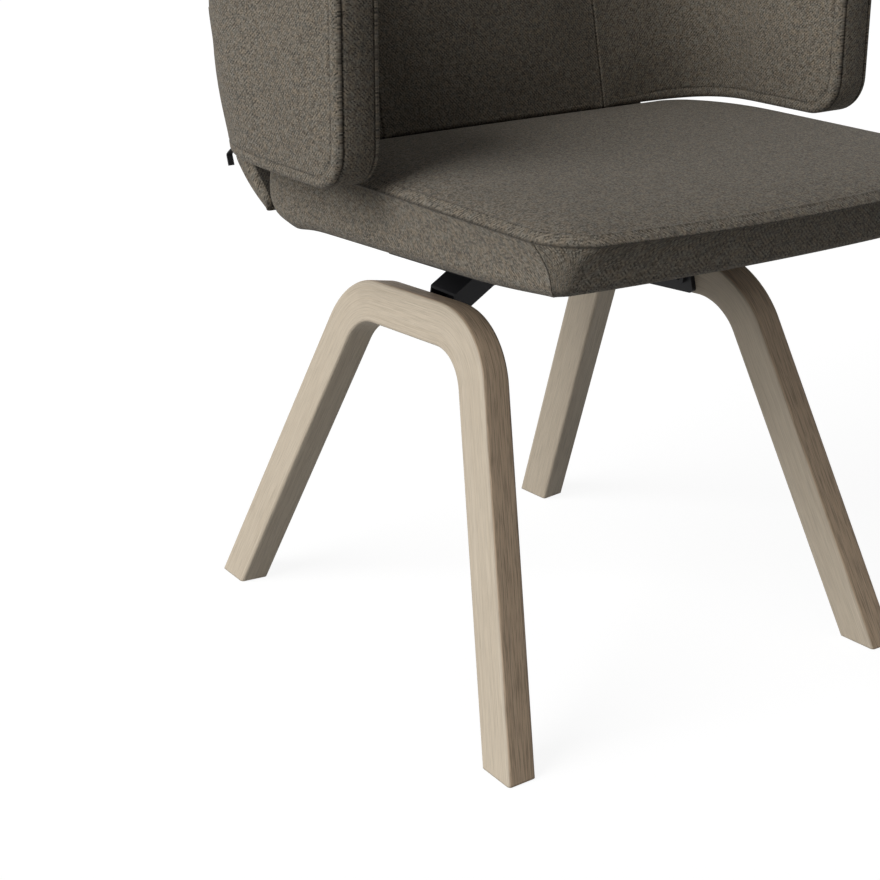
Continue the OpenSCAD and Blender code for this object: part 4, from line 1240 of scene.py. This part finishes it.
# %% Build the tail
TAIL_HALF, TAIL_R, TAIL_FROM, TAIL_PROUD = 234.0, 136.0, 18.0, 2.0
TAIL_DEPTH, TAIL_TIP, TAIL_SPREAD, TAIL_FLAT = 25.0, 3.0, 1.5, 0.975
TAIL_BACK, TAIL_UP, TAIL_BASE, TAIL_GROWTH, TAIL_CLOSING = 0.8235, 0.5441, 471.0, 0.4, 0.86
TAIL_CENTRE = np.array([BACK_OUTER - TAIL_R * TAIL_BACK, TAIL_BASE + TAIL_R * TAIL_UP])
TAIL_TOP = BACK_LOW - 0.4


def on_arc(r, angle):
    """Point (y, z) on a circle about the tail's centre; the angle is from straight down."""
    return TAIL_CENTRE + stacked(r * sind(angle), -r * cosd(angle))


def make_tail():
    """Rows along the chair's width: a crescent that shrinks onto its spine at the very end, kept
    within the back's outer face. The mask paints shade over its inside."""
    last = np.degrees(np.arccos((TAIL_CENTRE[1] - TAIL_TOP) / TAIL_R))
    angle = np.linspace(TAIL_FROM, last, 40)
    growth = (angle - TAIL_FROM) / (last - TAIL_FROM)
    depth = between(TAIL_TIP, TAIL_DEPTH, growth**TAIL_GROWTH)
    outside = on_arc(TAIL_R + TAIL_SPREAD * (1 - growth) ** 2, angle)
    inside = on_arc(TAIL_R - depth, angle)
    inside[:, 1] = np.minimum(inside[:, 1], TAIL_TOP)
    outline = np.concatenate([outside, inside[::-1]])
    spine = (outline + outline[::-1]) / 2
    flat = np.linspace(-TAIL_FLAT, TAIL_FLAT, 90)
    curl = np.pi / 2 * np.linspace(0, 1, 12)[1:]
    ends = TAIL_FLAT + (1 - TAIL_FLAT) * np.sin(curl)
    closing = np.cos(curl * TAIL_CLOSING)
    place_x = np.concatenate([-ends[::-1], flat, ends]) * TAIL_HALF
    shrink = np.concatenate([closing[::-1], np.ones(len(flat)), closing])
    plane = between(spine, outline, shrink[:, None, None])
    share = share_past(np.abs(place_x), PANEL_HALF, ARM_OUTER - PANEL_HALF)
    turn = np.degrees(np.arccos(share ** (1 / TURN_POWER)))
    limit = quarter(ARM_OUTER, BACK_OUTER, turn)[:, 1] + TAIL_PROUD
    y = np.minimum(plane[..., 0], limit[:, None])
    loops = stacked(place_x[:, None], y, plane[..., 1])
    around = way_round(outline)
    wrap = np.array([0.0, around[-2] + TAIL_TIP])
    corners = corner_map(stacked(loops[..., 0], around[:-1]), wrap)
    # painted shade over the inside rows of the crescent, which sit in shadow under the seat
    tail_inside_shade = np.repeat([0.0, 1.0], len(angle)) * (shrink[:, None] > 0.99)
    return closed_loft("tail_pad", settled(loops), corners, None, tail_inside_shade, True)


tail_pad = dress(make_tail(), "back", "taupe_fabric", "back_tail")

# %% [markdown]
# ## Cloth tab
# A short black ribbon is folded once and sewn in at the left end of the tail. It keeps to the
# place of its CAD solid, and is narrower and softer.

# %% Build the tab
RIBBON_SHARE, RIBBON_HALF_THICK, RIB_HEIGHT, RIB_PITCH = 0.62, 0.75, 0.16, 1.6
TOP_IN, TOP_UNDER, TIP_OUT, TIP_UNDER, END_OUT, END_UNDER = 0.9, 0.6, 6.5, 14.0, 3.0, 3.5
SQUARE_ACROSS, SQUARE_THICK = 0.3, 0.5


def superellipse(turn, power_across, power_thick):
    """Cosine and sine with their signs kept, each raised to its own power."""
    cosine, sine = np.cos(turn), np.sin(turn)
    across = np.sign(cosine) * np.abs(cosine) ** power_across
    return across, np.sign(sine) * np.abs(sine) ** power_thick


def make_tab():
    """A ribbed strip of constant thickness along a bent line, as rows of soft rectangles."""
    low, high = (np.array(c) * 1000 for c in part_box("rear_tab"))
    top = np.array([low[1] + TOP_IN, high[2] - TOP_UNDER])
    tip = np.array([high[1] + TIP_OUT, high[2] - TIP_UNDER])
    end = np.array([high[1] + END_OUT, low[2] - END_UNDER])
    down = np.linspace(0, 1, 9)[:, None]
    line = np.concatenate([between(top, tip, down[:-1]), between(tip, end, down)])
    line[1:-1] = (line[:-2] + 2 * line[1:-1] + line[2:]) / 4
    normal = left_of(np.gradient(line, axis=0))
    turn = np.linspace(0, 2 * np.pi, 33)[:-1]
    across, thick = superellipse(turn, SQUARE_ACROSS, SQUARE_THICK)
    across = across * RIBBON_SHARE * (high[0] - low[0]) / 2
    thick = thick * RIBBON_HALF_THICK * (1 + RIB_HEIGHT * np.sin(across * 2 * np.pi / RIB_PITCH))
    plane = line[:, None, :] + normal[:, None, :] * thick[None, :, None]
    loops = stacked((low[0] + high[0]) / 2 + across, plane[..., 0], plane[..., 1])
    chart = stacked(loops[..., 0], run_length(line)[:, None])
    return closed_loft("rear_ribbon", loops, corner_map(chart))


dress(make_tab(), "back", "cover_cloth", "rear_tab")

# %% [markdown]
# ## Light, floor and background
# One large soft sun from the left lights the outer faces, a dim even sky fills the rest, and
# the fronts fall off as they do in the photograph. The background is white to the camera and to
# mirrors only, so it adds no light to the chair, and the floor keeps a soft shadow.

# %% Light
SKY, SUN, SUN_SIZE, SUN_TILT = 0.11, 2.85, 42.0, 60.0
sun_data = bpy.data.lights.new("window_sun", "SUN")
sun_data.energy = SUN
sun_data.angle = math.radians(SUN_SIZE)
add_object("window_sun", sun_data).rotation_euler = (0, math.radians(-SUN_TILT), 0)


def seen_directly(tree):
    """1 where a ray comes from the camera, a mirror or glass, otherwise 0."""
    path = tree.nodes.new("ShaderNodeLightPath").outputs
    seen = maths(tree, "MAXIMUM", path["Is Camera Ray"], path["Is Glossy Ray"])
    return maths(tree, "MAXIMUM", seen, path["Is Transmission Ray"])


world = bpy.data.worlds.new("studio")
bpy.context.scene.world = world
world.use_nodes = True
tree = world.node_tree
strength = times_plus(tree, seen_directly(tree), 1 - SKY, SKY)
tree.links.new(strength, tree.nodes["Background"].inputs["Strength"])
tree.nodes["Background"].inputs["Color"].default_value = (1, 1, 1, 1)
print("sun:", SUN, "sky:", SKY)

# %% Floor
FLOOR_HALF, FLOOR_LOW, FLOOR_GREY, FLOOR_GLOW, GLOW_SHARE = 30.0, -0.0002, 0.35, 1.65, 0.55


def make_floor():
    """A pale sheet, 60 m across, just under the glides."""
    mesh = bpy.data.meshes.new("pale_floor")
    signs = ((-1, -1), (1, -1), (1, 1), (-1, 1))
    corners = [(x * FLOOR_HALF, y * FLOOR_HALF, FLOOR_LOW) for x, y in signs]
    mesh.from_pydata(corners, [], [(0, 1, 2, 3)])
    material, tree, surface = new_material("pale_floor")
    set_values(surface, Base_Color=(FLOOR_GREY, FLOOR_GREY, FLOOR_GREY, 1), Roughness=0.9)
    glow = place(tree, "ShaderNodeEmission", Color=(1, 1, 1, 1), Strength=FLOOR_GLOW)
    share = times(tree, seen_directly(tree), GLOW_SHARE)
    blend = place(tree, "ShaderNodeMixShader", i0=share, i1=surface.outputs[0], i2=glow.outputs[0])
    tree.links.new(blend.outputs[0], tree.nodes["Material Output"].inputs["Surface"])
    mesh.materials.append(material)
    return add_object("pale_floor", mesh)


make_floor()
bpy.context.scene.view_settings.view_transform = "Standard"
